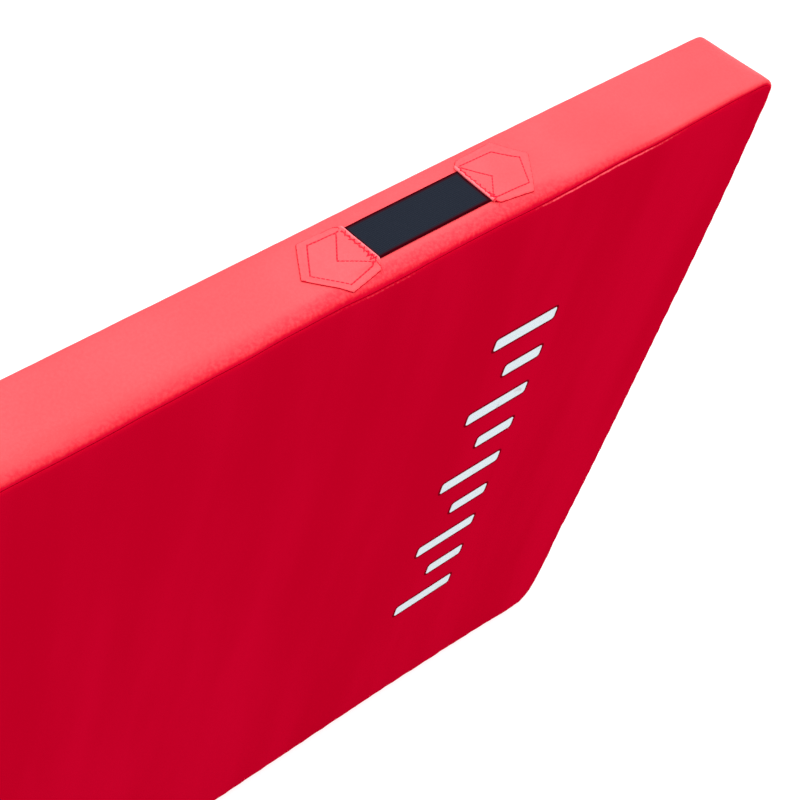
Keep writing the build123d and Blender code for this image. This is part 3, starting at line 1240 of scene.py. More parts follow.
    def stuff(self, mesh: Mesh) -> list[Vector]:
        """Let the cover settle over its stuffing by a short cloth simulation.

        Args:
            mesh: the nominal shell.

        Returns:
            How far each vertex moves, held to what the foam allows.
        """
        scene = bpy.context.scene
        data = bpy.data.meshes.new("stuffing")
        mesh.to_mesh(data)
        bag = link_up("stuffing", data)
        sewn = bag.vertex_groups.new(name="sewn")
        for v in mesh.verts:
            if self.seam_distance(v.co) < NEAR or self.held(v.co):
                sewn.add([v.index], 1.0, "REPLACE")
        cloth = bag.modifiers.new("Cloth", "CLOTH")
        wear = cloth.settings
        wear.quality = 5
        wear.mass = 0.35
        wear.tension_stiffness = 25.0
        wear.compression_stiffness = 25.0
        wear.shear_stiffness = 12.0
        wear.bending_stiffness = 0.8
        wear.use_pressure = True
        wear.uniform_pressure_force = 3.0
        wear.vertex_group_mass = "sewn"
        wear.shrink_min = -0.004
        wear.effector_weights.gravity = 0.0
        cloth.collision_settings.use_collision = False
        cloth.point_cache.frame_start = 1
        cloth.point_cache.frame_end = self.steps + 4
        for step in range(1, self.steps + 1):
            scene.frame_set(step)
        worn = bag.evaluated_get(bpy.context.evaluated_depsgraph_get()).to_mesh()
        moves = []
        for v, w in zip(mesh.verts, worn.vertices):
            cap = self.swell_panel if self.on_panel(v.co) else self.swell_border
            move = w.co - v.co
            moves.append(move * (cap / (cap + move.length)))
        scene.frame_set(1)
        bpy.data.objects.remove(bag)
        bpy.data.meshes.remove(data)
        return moves

    def panel_highlight_at(self, nominal: Vector) -> float:
        """Return how strong the painted highlight is at a nominal point on a panel beside a seam."""
        if nominal.z > self.middle + self.half_height - self.top_strip:
            return read_off(self.top_seam_highlight, abs(nominal.x))
        return self.other_seam_highlight

    def held(self, nominal: Vector) -> bool:
        """Say whether a nominal point is held by the zip or by what the mat stands on."""
        at_end = nominal.x < -self.form.half_length + NEAR
        by_zip = at_end and abs(nominal.y) < self.zip_hold
        return by_zip or nominal.z < self.form.foot + NEAR

    def on_panel(self, nominal: Vector) -> bool:
        """Say whether a nominal point is on one of the flat panels."""
        return abs(nominal.y) > self.form.half_depth - FLUSH

    def build(self) -> None:
        """Make the cover's sections and keep what the fittings rest on."""
        mesh = self.shell()
        mesh.verts.ensure_lookup_table()
        mesh.verts.index_update()
        moves = self.stuff(mesh)
        seam = mesh.verts.layers.float.new("seam")
        painted_rim = mesh.verts.layers.float.new("rim")
        gaps = [self.seam_distance(v.co) for v in mesh.verts]
        # The rim share is painted light: a painted highlight beside the panels' seams and a painted shade
        # down the border's roll into the seam.
        for v, move, gap in zip(mesh.verts, moves, gaps):
            if self.on_panel(v.co):
                v[painted_rim] = self.panel_highlight_at(v.co) * smooth(*self.panel_rim, gap)
            else:
                gap = self.round_roll(gap)
                reach = read_off(self.reach, abs(v.co.x))
                reach *= 1.0 if v.co.y < 0 else self.back_reach_share
                v[painted_rim] = read_off(self.roll_shade, min(gap / reach, 1.0))
            v[seam] = min(math.exp(-gap / self.shade_reach), self.shade)
            v.co = self.form.settle(v.co) + move
        mesh.normal_update()
        for v, gap in zip(mesh.verts, gaps):
            v.co -= v.normal * (self.valley * math.exp(-gap / self.valley_reach))
            v.co.z = max(v.co.z, OFF_FLOOR)
        mesh.normal_update()
        sides = (("front", Section.FACE), ("back", Section.BACK))
        self.seams = {side: self.ring(mesh, section) for side, section in sides}
        self.skin = BVHTree.FromBMesh(mesh)
        for section, (node, finish, slot, flat) in SECTIONS.items():
            part = mesh.copy()
            others = [f for f in part.faces if f.material_index != section.value]
            bmesh.ops.delete(part, geom=others, context="FACES")
            self.turn_in(part, 0.0 if finish is PANEL_VINYL else 1.0)
            name = "vinyl_" + node.replace("end_border", "end")
            piece = new_piece(name, part, slot, finish)
            thick = piece.modifiers.new("thickness", "SOLIDIFY")
            thick.thickness = self.vinyl
            thick.offset = -1.0
            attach(piece, "mat")
            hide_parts(node)
            log.info("%s: %d faces", name, len(piece.data.polygons))
        mesh.free()

    def ring(self, mesh: Mesh, section: Section) -> list[Vector]:
        """Follow the seam round a panel.

        Args:
            mesh: the settled shell.
            section: the panel.

        Returns:
            The seam's points in order.
        """
        rim = [
            e for e in mesh.edges
            if sum(f.material_index == section.value for f in e.link_faces) == 1
        ]
        nexts: dict[int, list[Vert]] = {}
        for e in rim:
            a, b = e.verts
            nexts.setdefault(a.index, []).append(b)
            nexts.setdefault(b.index, []).append(a)
        start = rim[0].verts[0]
        points, before, here = [start.co.copy()], start, nexts[start.index][0]
        while here is not start:
            points.append(here.co.copy())
            step = [v for v in nexts[here.index] if v is not before]
            before, here = here, step[0]
        return points

    def turn_in(self, part: Mesh, kept: float) -> None:
        """Turn a section's raw edges into the seam, over a small rounded lip.

        Args:
            part: the section's mesh.
            kept: how much of the painted rim colour beside the seam goes over the lip.
        """
        part.normal_update()
        seam = part.verts.layers.float["seam"]
        painted_rim = part.verts.layers.float["rim"]
        rim = [e for e in part.edges if len(e.link_faces) == 1]
        lips: dict[Vert, tuple[Vector, Vector]] = {}
        for v in {v for e in rim for v in e.verts}:
            inwards = Vector()
            for f in v.link_faces:
                inwards += f.calc_center_median() - v.co
            tangent = Vector()
            for e in v.link_edges:
                if len(e.link_faces) == 1:
                    along = e.other_vert(v).co - v.co
                    tangent += along if along.dot(tangent) >= 0 else -along
            if tangent.length > 0:
                tangent.normalize()
            inwards -= tangent * inwards.dot(tangent)
            inwards -= v.normal * inwards.dot(v.normal)
            lips[v] = (inwards.normalized(), v.normal.copy())
        for v, (inwards, normal) in lips.items():
            v.co = v.co + inwards * self.gap
            v[seam], v[painted_rim] = self.lip_shade, kept * v[painted_rim]
        edges = rim
        for step_out, step_down, shade in (*self.lip, (0.0, self.tuck, 1.0)):
            made = bmesh.ops.extrude_edge_only(part, edges=edges)["geom"]
            fresh = [g for g in made if isinstance(g, Vert)]
            carried: dict[Vert, tuple[Vector, Vector]] = {}
            for v in fresh:
                source = min(
                    (e.other_vert(v) for e in v.link_edges if e.other_vert(v) in lips),
                    key=lambda o: (o.co - v.co).length,
                )
                inwards, normal = lips[source]
                carried[v] = (inwards, normal)
                v.co = v.co - inwards * step_out - normal * step_down
                v[seam], v[painted_rim] = shade, source[painted_rim]
            lips = carried
            edges = [g for g in made if isinstance(g, Edge)]
            edges = [e for e in edges if all(v in carried for v in e.verts)]

    def probe(self, start: Vector, run: Vector, sides: tuple[int, int]) -> Vector:
        """Find where a line meets the settled cover.

        Args:
            start: where the line starts, outside the cover.
            run: its direction.
            sides: the two axes across it, along which a missed cast is nudged.

        Returns:
            The point on the vinyl's outside.
        """
        for nudge in self.nudges:
            moved = start.copy()
            moved[sides[0]] += nudge
            moved[sides[1]] += self.skew * nudge
            hit = self.skin.ray_cast(moved, run, self.probe_length)[0]
            if hit is not None:
                return hit
        raise ValueError(f"no cover past {tuple(start)}")

    def above(self, x: float, y: float, sign: int) -> Vector:
        """Find the settled border at a place along it.

        Args:
            x: place along the mat.
            y: place through its thickness.
            sign: 1 for the top border, -1 for the bottom one.

        Returns:
            The point on the vinyl's outside.
        """
        start = Vector((x, y, self.probe_heights[sign > 0]))
        return Vector((x, y, self.probe(start, Vector((0.0, 0.0, -sign)), (0, 1)).z))

    def before(self, x: float, z: float) -> Vector:
        """Return the point on the settled face in front of a place."""
        start = Vector((x, self.probe_front, z))
        return Vector((x, self.probe(start, Vector((0.0, 1.0, 0.0)), (0, 2)).y, z))


@dataclass
class SeamStitches:
    """The lockstitch that shows in the cover's seams.

    Attributes:
        cover: the cover that it joins.
        pitch: length of one stitch.
        length: length of thread that shows.
        thickness: the thread's thickness.
        depth: how far it lies below the vinyl's outside.
    """

    cover: Cover
    pitch: float = 0.0055
    length: float = 0.0042
    thickness: float = 0.0007
    depth: float = 0.0009

    def build(self) -> None:
        """Sew round both panels."""
        for side, points in self.cover.seams.items():
            mesh = bmesh.new()
            inwards = Vector((0.0, self.depth if side == "front" else -self.depth, 0.0))
            sew(mesh, [*points, points[0]], self.pitch, self.length, self.thickness, inwards)
            piece = new_piece(f"sewn_{side}_seam", mesh, Slot.SEAM, SEAM_THREAD)
            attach(piece, "mat")
            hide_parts(f"{side}_seam_thread")
            log.info("%s: %d faces", piece.name, len(piece.data.polygons))


@dataclass
class Core:
    """The foam block inside the cover.

    Attributes:
        cover: the cover that holds it.
        ease: gap between the foam and the cover's outside.
        corner: how far its edges are worn round.
        grid: spacing of the mesh along the mat and up it.
        layers: places of the mesh's rows through the thickness.
        foot: least height of its underside.
    """

    cover: Cover
    ease: float = 0.0055
    corner: float = 0.008
    grid: float = 0.05
    layers: tuple[float, ...] = (-0.03, -0.015, 0.0, 0.015, 0.03)
    foot: float = 0.004

    def build(self) -> None:
        """Make the foam as the stuffed form taken in by the ease."""
        form = self.cover.form
        mesh = bmesh.new()
        half = (form.half_length, form.half_depth, self.cover.half_height)
        add_box(mesh, (0.0, 0.0, self.cover.middle), [2 * (h - self.ease) for h in half])
        round_off(mesh, mesh.edges[:], self.corner, steps=3)
        columns, rows = round(half[0] / self.grid), round(half[2] / self.grid)
        cut(mesh, 0, [self.grid * i for i in range(1 - columns, columns)])
        cut(mesh, 2, [self.cover.middle + self.grid * i for i in range(1 - rows, rows)])
        cut(mesh, 1, self.layers)
        for v in mesh.verts:
            v.co = form.settle(v.co)
            v.co.z = max(v.co.z, self.foot)
        piece = new_piece("stuffing_foam", mesh, Slot.FOAM, CORE_FOAM)
        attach(piece, "mat")
        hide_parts("foam_core")
        log.info("stuffing_foam: %d faces", len(piece.data.polygons))


# ---- Handles ----


@dataclass(frozen=True)
class PatchShape:
    """A sewn-down patch as cut and stitched by hand, in millimetres.

    Distances run along the mat away from the handle's open middle, from the patch's
    nominal fold, and across the mat from the strap's middle, towards the back.

    Attributes:
        outline: the cut edge, from the fold's front corner round to its back corner.
        seam: the outline stitch, from the front of the fold round to the back.
        vee: the pointed stitch over the strap's end.
        tack: the zigzag along the fold.
        knot: where the thread is sewn back over itself.
        tails: loose thread ends.
    """

    outline: tuple[Point, ...]
    seam: tuple[Point, ...]
    vee: tuple[Point, ...]
    tack: tuple[Point, Point]
    knot: tuple[Point, ...]
    tails: tuple[tuple[Point, ...], ...]

    def rim_gap(self, x: float, y: float) -> float:
        """Return how far a point lies from the cut edge or the fold."""
        return line_gap([*self.outline, self.outline[0]], x, y)

    def stitch_gap(self, x: float, y: float) -> float:
        """Return how far a point lies from the nearest stitched line."""
        return min(line_gap(line, x, y) for line in (self.seam, self.vee, self.tack))

    def fold_gap(self, x: float, y: float) -> float:
        """Return how far a point lies from the fold's line."""
        (ax, ay), (bx, by) = self.outline[0], self.outline[-1]
        across = math.hypot(bx - ax, by - ay)
        return abs((bx - ax) * (ay - y) - (ax - x) * (by - ay)) / across


WIDE_PATCH = PatchShape(
    outline=((4, -25), (10, -36), (55, -44.5), (92, -7), (66, 32), (18, 30.5), (9.5, 27)),
    seam=((12, -25), (16, -28.5), (51, -36), (80, -7), (56.5, 25.5), (22, 23), (17, 23.5)),
    vee=((14, -25), (44, -6), (22, 21)),
    tack=((9, -23), (14, 22)),
    knot=((12, -27), (7, -23), (14, -22), (8, -18), (14, -17), (9, -14)),
    tails=(((10, -26), (9, -33), (12, -41)), ((15, 24.5), (15, 27), (19, 29.5))),
)
SLIM_PATCH = PatchShape(
    outline=((-1.5, -25), (7.5, -31.5), (52, -37), (84.5, 7), (55, 38), (2, 36), (-5.5, 29)),
    seam=((3, -23), (7, -24.5), (54, -26), (72, 7), (48, 27.5), (2, 28.5), (-2, 26.5)),
    vee=((4, -22), (23.5, 0.5), (2, 25)),
    tack=((2.5, -24), (-1.5, 25)),
    knot=((-0.5, -27), (6, -25), (0, -22), (7, -21), (1, -17), (6, -15)),
    tails=(((2, -26), (4, -31), (1, -35)),),
)


@dataclass(frozen=True)
class PatchRelief:
    """How a sewn-down patch stands off the border.

    A pair gives where a form starts and where it is full. Reaches are in millimetres
    and heights in metres.

    Attributes:
        past_selvage: the vinyl's slope down beside the strap, from its selvage.
        past_tail: its slope down over the strap's end, from the fold.
        over_strap: gap between the vinyl and the strap.
        hem: height of the folded edge.
        hem_slope: its slope down, from the hem's inner edge.
        dimple: depth to which a stitch pulls the vinyl.
        dimple_reach: how far from the stitch that reaches.
        fold: height of the fold's roll.
        fold_middle: distance of the roll's top from the fold.
        fold_reach: how far from there it reaches.
        worn: how much lower the cut edge is.
        worn_reach: how far in from the edge that reaches.
        stitch_shade: how dark the vinyl is at a stitch.
        shade_reach: how far from the stitch that reaches.
        lit_fold: where the pale fold ends and where it is full.
        raw_edge: width of the dark cut edge.
        folded: paleness past which an edge is the fold and not cut.
        under_selvage: the underside's step down beside the strap, from its selvage.
        under_tail: its step down past the strap's end, from the fold.
        under_strap: gap between the strap and the underside.
    """

    past_selvage: Point = (7.0, -1.0)
    past_tail: Point = (64.0, 26.0)
    over_strap: float = 0.0002
    hem: float = 0.0009
    hem_slope: Point = (1.0, -4.0)
    dimple: float = 0.0005
    dimple_reach: float = 1.2
    fold: float = 0.0006
    fold_middle: float = 1.6
    fold_reach: float = 1.5
    worn: float = 0.0005
    worn_reach: float = 0.7
    # stitch_shade: strength of the painted shade at a stitch. shade_reach: how far from the stitch that
    # reaches. lit_fold: where the painted highlight along the fold ends and where it is full. raw_edge:
    # width of the cut edge that takes the seam's painted shade. folded: highlight share past which an edge
    # is the fold and not cut.
    stitch_shade: float = 0.8
    shade_reach: float = 2.3
    lit_fold: Point = (3.4, 2.2)
    raw_edge: float = 0.25
    folded: float = 0.1
    under_selvage: Point = (0.6, 0.1)
    under_tail: Point = (41.0, 40.2)
    under_strap: float = 0.00015


@dataclass
class Handle:
    """One carrying handle: a webbing strap sewn down under a patch at each end.

    Attributes:
        cover: the cover that carries it.
        edge: "top" or "bottom".
        side: "left" or "right".
        left_patch: shape of the patch at the handle's -X end.
        right_patch: shape of the patch at its +X end.
        width: the strap's width.
        thickness: its thickness.
        open_half: half the strap's open span.
        grip_half: half the part that lifts away.
        tail: how far the strap runs on under a patch.
        vinyl: thickness of the patch.
        hem: width of the folded hem.
        creep: how far the stuffing carries the handle towards the zipped end.
        root: how far the strap stays down inside the open span.
        selvage: how far the strap's long edges are rounded.
        strap_grid: spacing of the strap's rows along it.
        strap_lane: spacing of its lanes across it.
        selvage_lanes: distances from its middle of the lanes beside its selvages.
        bedded: gap between the strap's ends and the border.
        slack: how much higher its open middle lies.
        settled: length over which it comes down to its ends.
        side_tint: how far in from a selvage the painted shadow and red reflection of the cover start and are
            full.
        fold_tint: how far from a fold it starts and is full, in millimetres.
        relief: how a patch stands off the border.
        rim_rings: spacing of the mesh's rings round a patch, in millimetres.
        patch_corner: how far its corners are rounded, in millimetres.
        patch_grid: spacing of its mesh inside the rings, in millimetres.
        patch_offset: shift of that mesh along and across, in millimetres.
        patch_columns: numbers of the mesh's lines along the mat, first and past last.
        patch_lanes: the same for its lines across it.
        patch_merge: gap under which two of its points become one, in millimetres.
        patch_sliver: length under which an edge of it is closed, in millimetres.
        thread: thickness of the stitching.
        thread_rise: height of its middle over the vinyl.
        thread_foot: least height of its middle over the floor.
        tail_thread: thickness of the loose thread ends.
        tail_rise: height of their middle over the vinyl.
        tail_pitch: spacing of the beads that make them up.
        tail_length: length of one bead.
    """

    cover: Cover
    edge: str
    side: str
    left_patch: PatchShape = WIDE_PATCH
    right_patch: PatchShape = SLIM_PATCH
    width: float = 0.050
    thickness: float = 0.0016
    open_half: float = 0.078
    grip_half: float = 0.030
    tail: float = 0.040
    vinyl: float = 0.0009
    hem: float = 0.0065
    creep: float = 0.0035
    root: float = 0.006
    selvage: float = 0.0006
    strap_grid: float = 0.002
    strap_lane: float = 0.0041
    selvage_lanes: tuple[float, ...] = (0.0238, 0.0225)
    bedded: float = 0.0001
    slack: float = 0.0003
    settled: float = 0.02
    side_tint: Point = (0.0048, 0.0012)
    fold_tint: Point = (-4.4, -1.2)
    relief: PatchRelief = PatchRelief()
    rim_rings: tuple[float, ...] = (0.3, 0.5, 1.6)
    patch_corner: float = 1.6
    patch_grid: float = 1.7
    patch_offset: Point = (0.3, 0.2)
    patch_columns: tuple[int, int] = (-2, 60)
    patch_lanes: tuple[int, int] = (-26, 27)
    patch_merge: float = 0.22
    patch_sliver: float = 0.1
    thread: float = 0.0012
    thread_rise: float = 0.00015
    thread_foot: float = 0.0008
    tail_thread: float = 0.00055
    tail_rise: float = 0.0005
    tail_pitch: float = 0.0016
    tail_length: float = 0.0024

    @property
    def name(self) -> str:
        """The handle's name in the frame."""
        return f"{self.edge}_{self.side}"

    @property
    def middle(self) -> float:
        """The handle's place along the mat."""
        handle = self.cover.form.handle
        return (handle if self.side == "right" else -handle) - self.creep

    @property
    def sign(self) -> int:
        """1 on the top border, -1 on the bottom one."""
        return 1 if self.edge == "top" else -1

    def place(self, x: float, y: float, rise: float) -> Vector:
        """Find a point of the handle on the mat.

        Args:
            x: place along the mat from the handle's middle.
            y: place across it.
            rise: height off the border.

        Returns:
            The point.
        """
        on = self.cover.above(self.middle + x, y, self.sign)
        on.z = max(on.z + rise * self.sign, OFF_FLOOR)
        return on

    def build(self) -> None:
        """Make the strap in three runs, the two patches and their stitching."""
        lift = f"{self.name}_grip"
        reach = self.open_half + self.tail
        runs = (
            ("strap_left", -reach, -self.grip_half), ("grip", -self.grip_half, self.grip_half),
            ("strap_right", self.grip_half, reach),
        )
        for part, start, end in runs:
            piece = self.strap(part, start, end)
            if part == "grip":
                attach(piece, lift)
            else:
                held, free = (start, end) if part == "strap_left" else (end, start)
                held = math.copysign(self.open_half - self.root, held)
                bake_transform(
                    piece, "mat", lift,
                    start=(self.middle + held, 0.0, self.place(held, 0.0, 0.0).z),
                    end=(self.middle + free, 0.0, self.place(held, 0.0, 0.0).z),
                )
            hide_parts(f"{self.name}_{part}")
        for end, shape, way in (("left", self.left_patch, -1), ("right", self.right_patch, 1)):
            self.patch(end, shape, way)
            self.stitching(end, shape, way)
        log.info("handle %s done", self.name)

    def strap(self, part: str, start: float, end: float) -> bpy.types.Object:
        """Make one run of the webbing.

        Args:
            part: the run's name.
            start: where it starts along the mat, from the handle's middle.
            end: where it ends.

        Returns:
            The piece, not yet riding.
        """
        mesh = bmesh.new()
        middle = ((start + end) / 2, 0.0, self.thickness / 2)
        add_box(mesh, middle, (end - start, self.width, self.thickness))
        round_off(mesh, edges_along(mesh, 0), self.selvage, steps=3)
        steps = round((end - start) / self.strap_grid)
        cut(mesh, 0, [start + (end - start) * i / steps for i in range(1, steps)])
        lanes = int(min(self.selvage_lanes) / self.strap_lane)
        cut(mesh, 1, [self.strap_lane * i for i in range(-lanes, lanes + 1)])
        cut(mesh, 1, [side * y for side in (-1, 1) for y in self.selvage_lanes])
        shade = mesh.verts.layers.float.new("shade")
        for v in mesh.verts:
            v[shade] = self.shaded(v.co.x, v.co.y)
        weave_along(mesh, 0, 1)
        for v in mesh.verts:
            loose = smooth(self.open_half, self.open_half - self.settled, abs(v.co.x))
            v.co = self.place(v.co.x, v.co.y, v.co.z + self.bedded + self.slack * loose)
        if self.sign < 0:
            bmesh.ops.reverse_faces(mesh, faces=mesh.faces[:])
        name = f"webbing_{self.name}_{part}"
        return new_piece(name, mesh, Slot.WEBBING, STRAP_WEAVE, crease=1.2)

    def shaded(self, x: float, y: float) -> float:
        """Return how much painted shadow and red reflection of the cover lies on the strap at a point.

        Args:
            x: place along the mat from the handle's middle.
            y: place across it.

        Returns:
            The share, which is full at the selvages and against the folds.
        """
        shape = self.left_patch if x < 0 else self.right_patch
        fold = (abs(x) - self.open_half) / MM
        (ax, ay), (bx, by) = shape.outline[0], shape.outline[-1]
        fold -= ax + (bx - ax) * (y / MM * self.sign - ay) / (by - ay)
        side = self.width / 2 - abs(y)
        return max(smooth(*self.side_tint, side), smooth(*self.fold_tint, fold))

    def rise(self, shape: PatchShape, x: float, y: float) -> float:
        """Find how high a patch's outside stands off the border.

        Args:
            shape: the patch.
            x: distance from the nominal fold, away from the open span, in millimetres.
            y: distance across from the strap's middle, in millimetres.

        Returns:
            The height in metres.
        """
        form = self.relief
        rim = shape.rim_gap(x, y)
        over = smooth(*form.past_selvage, self.past_selvage(y)) * smooth(*form.past_tail, x)
        height = self.vinyl + over * (self.thickness + form.over_strap)
        height += form.hem * smooth(*form.hem_slope, rim - self.hem / MM)
        gap = shape.stitch_gap(x, y) / form.dimple_reach
        height -= form.dimple * math.exp(-(gap**2))
        gap = (shape.fold_gap(x, y) - form.fold_middle) / form.fold_reach
        height += form.fold * math.exp(-(gap**2))
        return height - form.worn * smooth(form.worn_reach, 0.0, rim)

    def past_selvage(self, y: float) -> float:
        """Return how far past the strap's selvage a place across it is, in millimetres."""
        return abs(y) - self.width / 2 / MM

    def patch(self, end: str, shape: PatchShape, way: int) -> None:
        """Make one patch.

        Args:
            end: which end of the handle.
            shape: its cut.
            way: -1 towards -X, 1 towards +X.
        """
        mesh = bmesh.new()
        seam = mesh.verts.layers.float.new("seam")
        rim = mesh.verts.layers.float.new("rim")
        corners = [mesh.verts.new((x, y, 0.0)) for x, y in shape.outline]
        mesh.faces.new(corners)
        bmesh.ops.bevel(
            mesh, geom=mesh.verts[:], offset=self.patch_corner, segments=3, profile=0.5,
            affect="VERTICES", material=-1,
        )
        for width in self.rim_rings:
            bmesh.ops.inset_region(mesh, faces=mesh.faces[-1:], thickness=width, depth=0.0)
            mesh.faces.ensure_lookup_table()
            widest = max(mesh.faces, key=lambda f: f.calc_area())
            mesh.faces.index_update()
            mesh.faces.sort(key=lambda f: f is widest)
            mesh.faces.ensure_lookup_table()
        along, across = self.patch_offset
        cut(mesh, 0, [self.patch_grid * i + along for i in range(*self.patch_columns)])
        cut(mesh, 1, [self.patch_grid * i + across for i in range(*self.patch_lanes)])
        bmesh.ops.remove_doubles(mesh, verts=mesh.verts[:], dist=self.patch_merge)
        bmesh.ops.dissolve_degenerate(mesh, dist=self.patch_sliver, edges=mesh.edges[:])
        top = mesh.faces[:]
        bmesh.ops.recalc_face_normals(mesh, faces=top)
        if top[0].normal.z < 0:
            bmesh.ops.reverse_faces(mesh, faces=top)
        below = bmesh.ops.extrude_face_region(mesh, geom=top, use_keep_orig=True)["geom"]
        lower = {g for g in below if isinstance(g, Vert)}
        form = self.relief
        for v in mesh.verts:
            x, y = v.co.x, v.co.y
            # Painted shade round the stitches, on the cut edge and underneath, and a painted highlight along
            # the fold.
            gap = shape.stitch_gap(x, y) / form.shade_reach
            v[seam] = form.stitch_shade * math.exp(-(gap**2))
            v[rim] = smooth(*form.lit_fold, shape.fold_gap(x, y))
            raw = shape.rim_gap(x, y) < form.raw_edge and v[rim] < form.folded
            if v in lower or raw:
                v[seam] = 1.0
            if v in lower:
                over = smooth(*form.under_selvage, self.past_selvage(y))
                over *= smooth(*form.under_tail, x)
                height = over * (self.thickness + form.under_strap)
            else:
                height = self.rise(shape, x, y)
            v.co = self.place(way * (self.open_half + x * MM), y * MM * self.sign, height)
        bmesh.ops.recalc_face_normals(mesh, faces=mesh.faces[:])
        if mesh.calc_volume(signed=True) < 0:
            bmesh.ops.reverse_faces(mesh, faces=mesh.faces[:])
        piece = new_piece(f"vinyl_{self.name}_patch_{end}", mesh, Slot.PATCH, PATCH_VINYL)
        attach(piece, "mat")
        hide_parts(f"{self.name}_patch_{end}")

    def stitching(self, end: str, shape: PatchShape, way: int) -> None:
        """Sew one patch down.

        Args:
            end: which end of the handle.
            shape: its stitch lines.
            way: -1 towards -X, 1 towards +X.
        """
        mesh = bmesh.new()
        # Each line with its stitches' pitch and gap in millimetres, below 0 where they overlap.
        lines = (
            (shape.seam, 4.8, 1.3), (shape.vee, 4.6, 1.3),
            (self.zigzag(*shape.tack), 3.6, -0.4), (shape.knot, 3.0, -0.5),
        )
        for line, pitch, gap in lines:
            points = self.follow(shape, line, way, self.thread_rise)
            sew(mesh, points, pitch * MM, (pitch - gap) * MM, self.thread, Vector(), detail=2)
        for tail in shape.tails:
            points = self.follow(shape, tail, way, self.tail_rise)
            sew(mesh, points, self.tail_pitch, self.tail_length, self.tail_thread, Vector())
        piece = new_piece(f"sewn_{self.name}_patch_{end}", mesh, Slot.STITCHING, PATCH_THREAD)
        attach(piece, "mat")
        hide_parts(f"{self.name}_stitching_{end}")

    @staticmethod
    def zigzag(start: Point, end: Point, turns: int = 14, width: float = 3.4) -> tuple[Point, ...]:
        """Lay a zigzag along a line, all in millimetres.

        Args:
            start: where the line starts.
            end: where it ends.
            turns: how many times the thread crosses it.
            width: the zigzag's width.

        Returns:
            The zigzag's corners.
        """
        points = []
        for i in range(turns + 1):
            share = i / turns
            side = width / 2 * (-1 if i % 2 else 1)
            points.append(
                (start[0] + (end[0] - start[0]) * share + side,
                 start[1] + (end[1] - start[1]) * share)
            )
        return tuple(points)

    def follow(
        self, shape: PatchShape, line: Sequence[Point], way: int, rise: float
    ) -> list[Vector]:
        """Lay a line of thread on the patch.

        Args:
            shape: the patch.
            line: the line's corners, in millimetres.
            way: -1 towards -X, 1 towards +X.
            rise: height of the thread's middle over the vinyl, in metres.

        Returns:
            Points on the mat about a millimetre apart.
        """
        points = []
        for (ax, ay), (bx, by) in zip(line, line[1:]):
            steps = max(int(math.hypot(bx - ax, by - ay)), 1)
            for i in range(steps + 1):
                x, y = ax + (bx - ax) * i / steps, ay + (by - ay) * i / steps
                point = self.place(
                    way * (self.open_half + x * MM), y * MM * self.sign,
                    self.rise(shape, x, y) + rise,
                )
                point.z = max(point.z, self.thread_foot)
                points.append(point)
        return points


# ---- The printed scale ----


@dataclass
class PrintedScale:
    """Plain tick marks printed on the face.

    Attributes:
        cover: the cover that carries them.
        count: number of marks.
        span: height of the whole scale.
        mark: height of one mark.
        long_mark: length of every other mark.
        short_mark: length of those between.
        right: the marks' common edge.
        corner: radius of a mark's corners.
        keyline: how far the base coat shows round a mark.
        base_coat: height of the base coat off the vinyl.
        top_coat: height of the pale ink off the vinyl.
        grid: spacing of the mesh along the marks.
    """

    cover: Cover
    count: int = 9
    span: float = 0.556
    mark: float = 0.020
    long_mark: float = 0.100
    short_mark: float = 0.062
    right: float = 0.736
    corner: float = 0.004
    keyline: float = 0.0034
    base_coat: float = 0.0002
    top_coat: float = 0.0003
    grid: float = 0.0099

    def heights(self) -> list[float]:
        """Return the height of each mark's middle, from the lowest up."""
        pitch = (self.span - self.mark) / (self.count - 1)
        return [
            self.cover.middle + (i - (self.count - 1) / 2) * pitch for i in range(self.count)
        ]

    def coat(self, mesh: Mesh, margin: float, thickness: float) -> None:
        """Lay one coat of ink where the marks go.

        Args:
            mesh: the print, which gets the coat.
            margin: how far the coat runs past the pale marks.
            thickness: its height off the vinyl.
        """
        laid: set[Vert] = set()
        for i, height in enumerate(self.heights()):
            length = self.short_mark if i % 2 else self.long_mark
            size = (length + 2 * margin, thickness, self.mark + 2 * margin)
            laid.update(add_box(mesh, (self.right - length / 2, -thickness / 2, height), size))
        corners = [e for e in edges_along(mesh, 1) if e.verts[0] in laid]
        round_off(mesh, corners, self.corner + margin, steps=5)

    def build(self) -> None:
        """Print the marks."""
        mesh = bmesh.new()
        base = mesh.verts.layers.float.new("base")
        self.coat(mesh, self.keyline, self.base_coat)
        for v in mesh.verts:
            v[base] = 1.0
        self.coat(mesh, 0.0, self.top_coat)
        columns = int(self.long_mark / self.grid)
        cut(mesh, 0, [self.right - self.grid * i for i in range(columns + 1)])
        cut(mesh, 2, self.heights())
        for v in mesh.verts:
            v.co.y += self.cover.before(v.co.x, v.co.z).y
        piece = new_piece("printed_scale", mesh, Slot.PRINT, SCALE_INK, crease=1.2)
        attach(piece, "mat")
        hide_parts("face_marking")
        log.info("printed_scale: %d faces", len(piece.data.polygons))


# ---- The zip ----


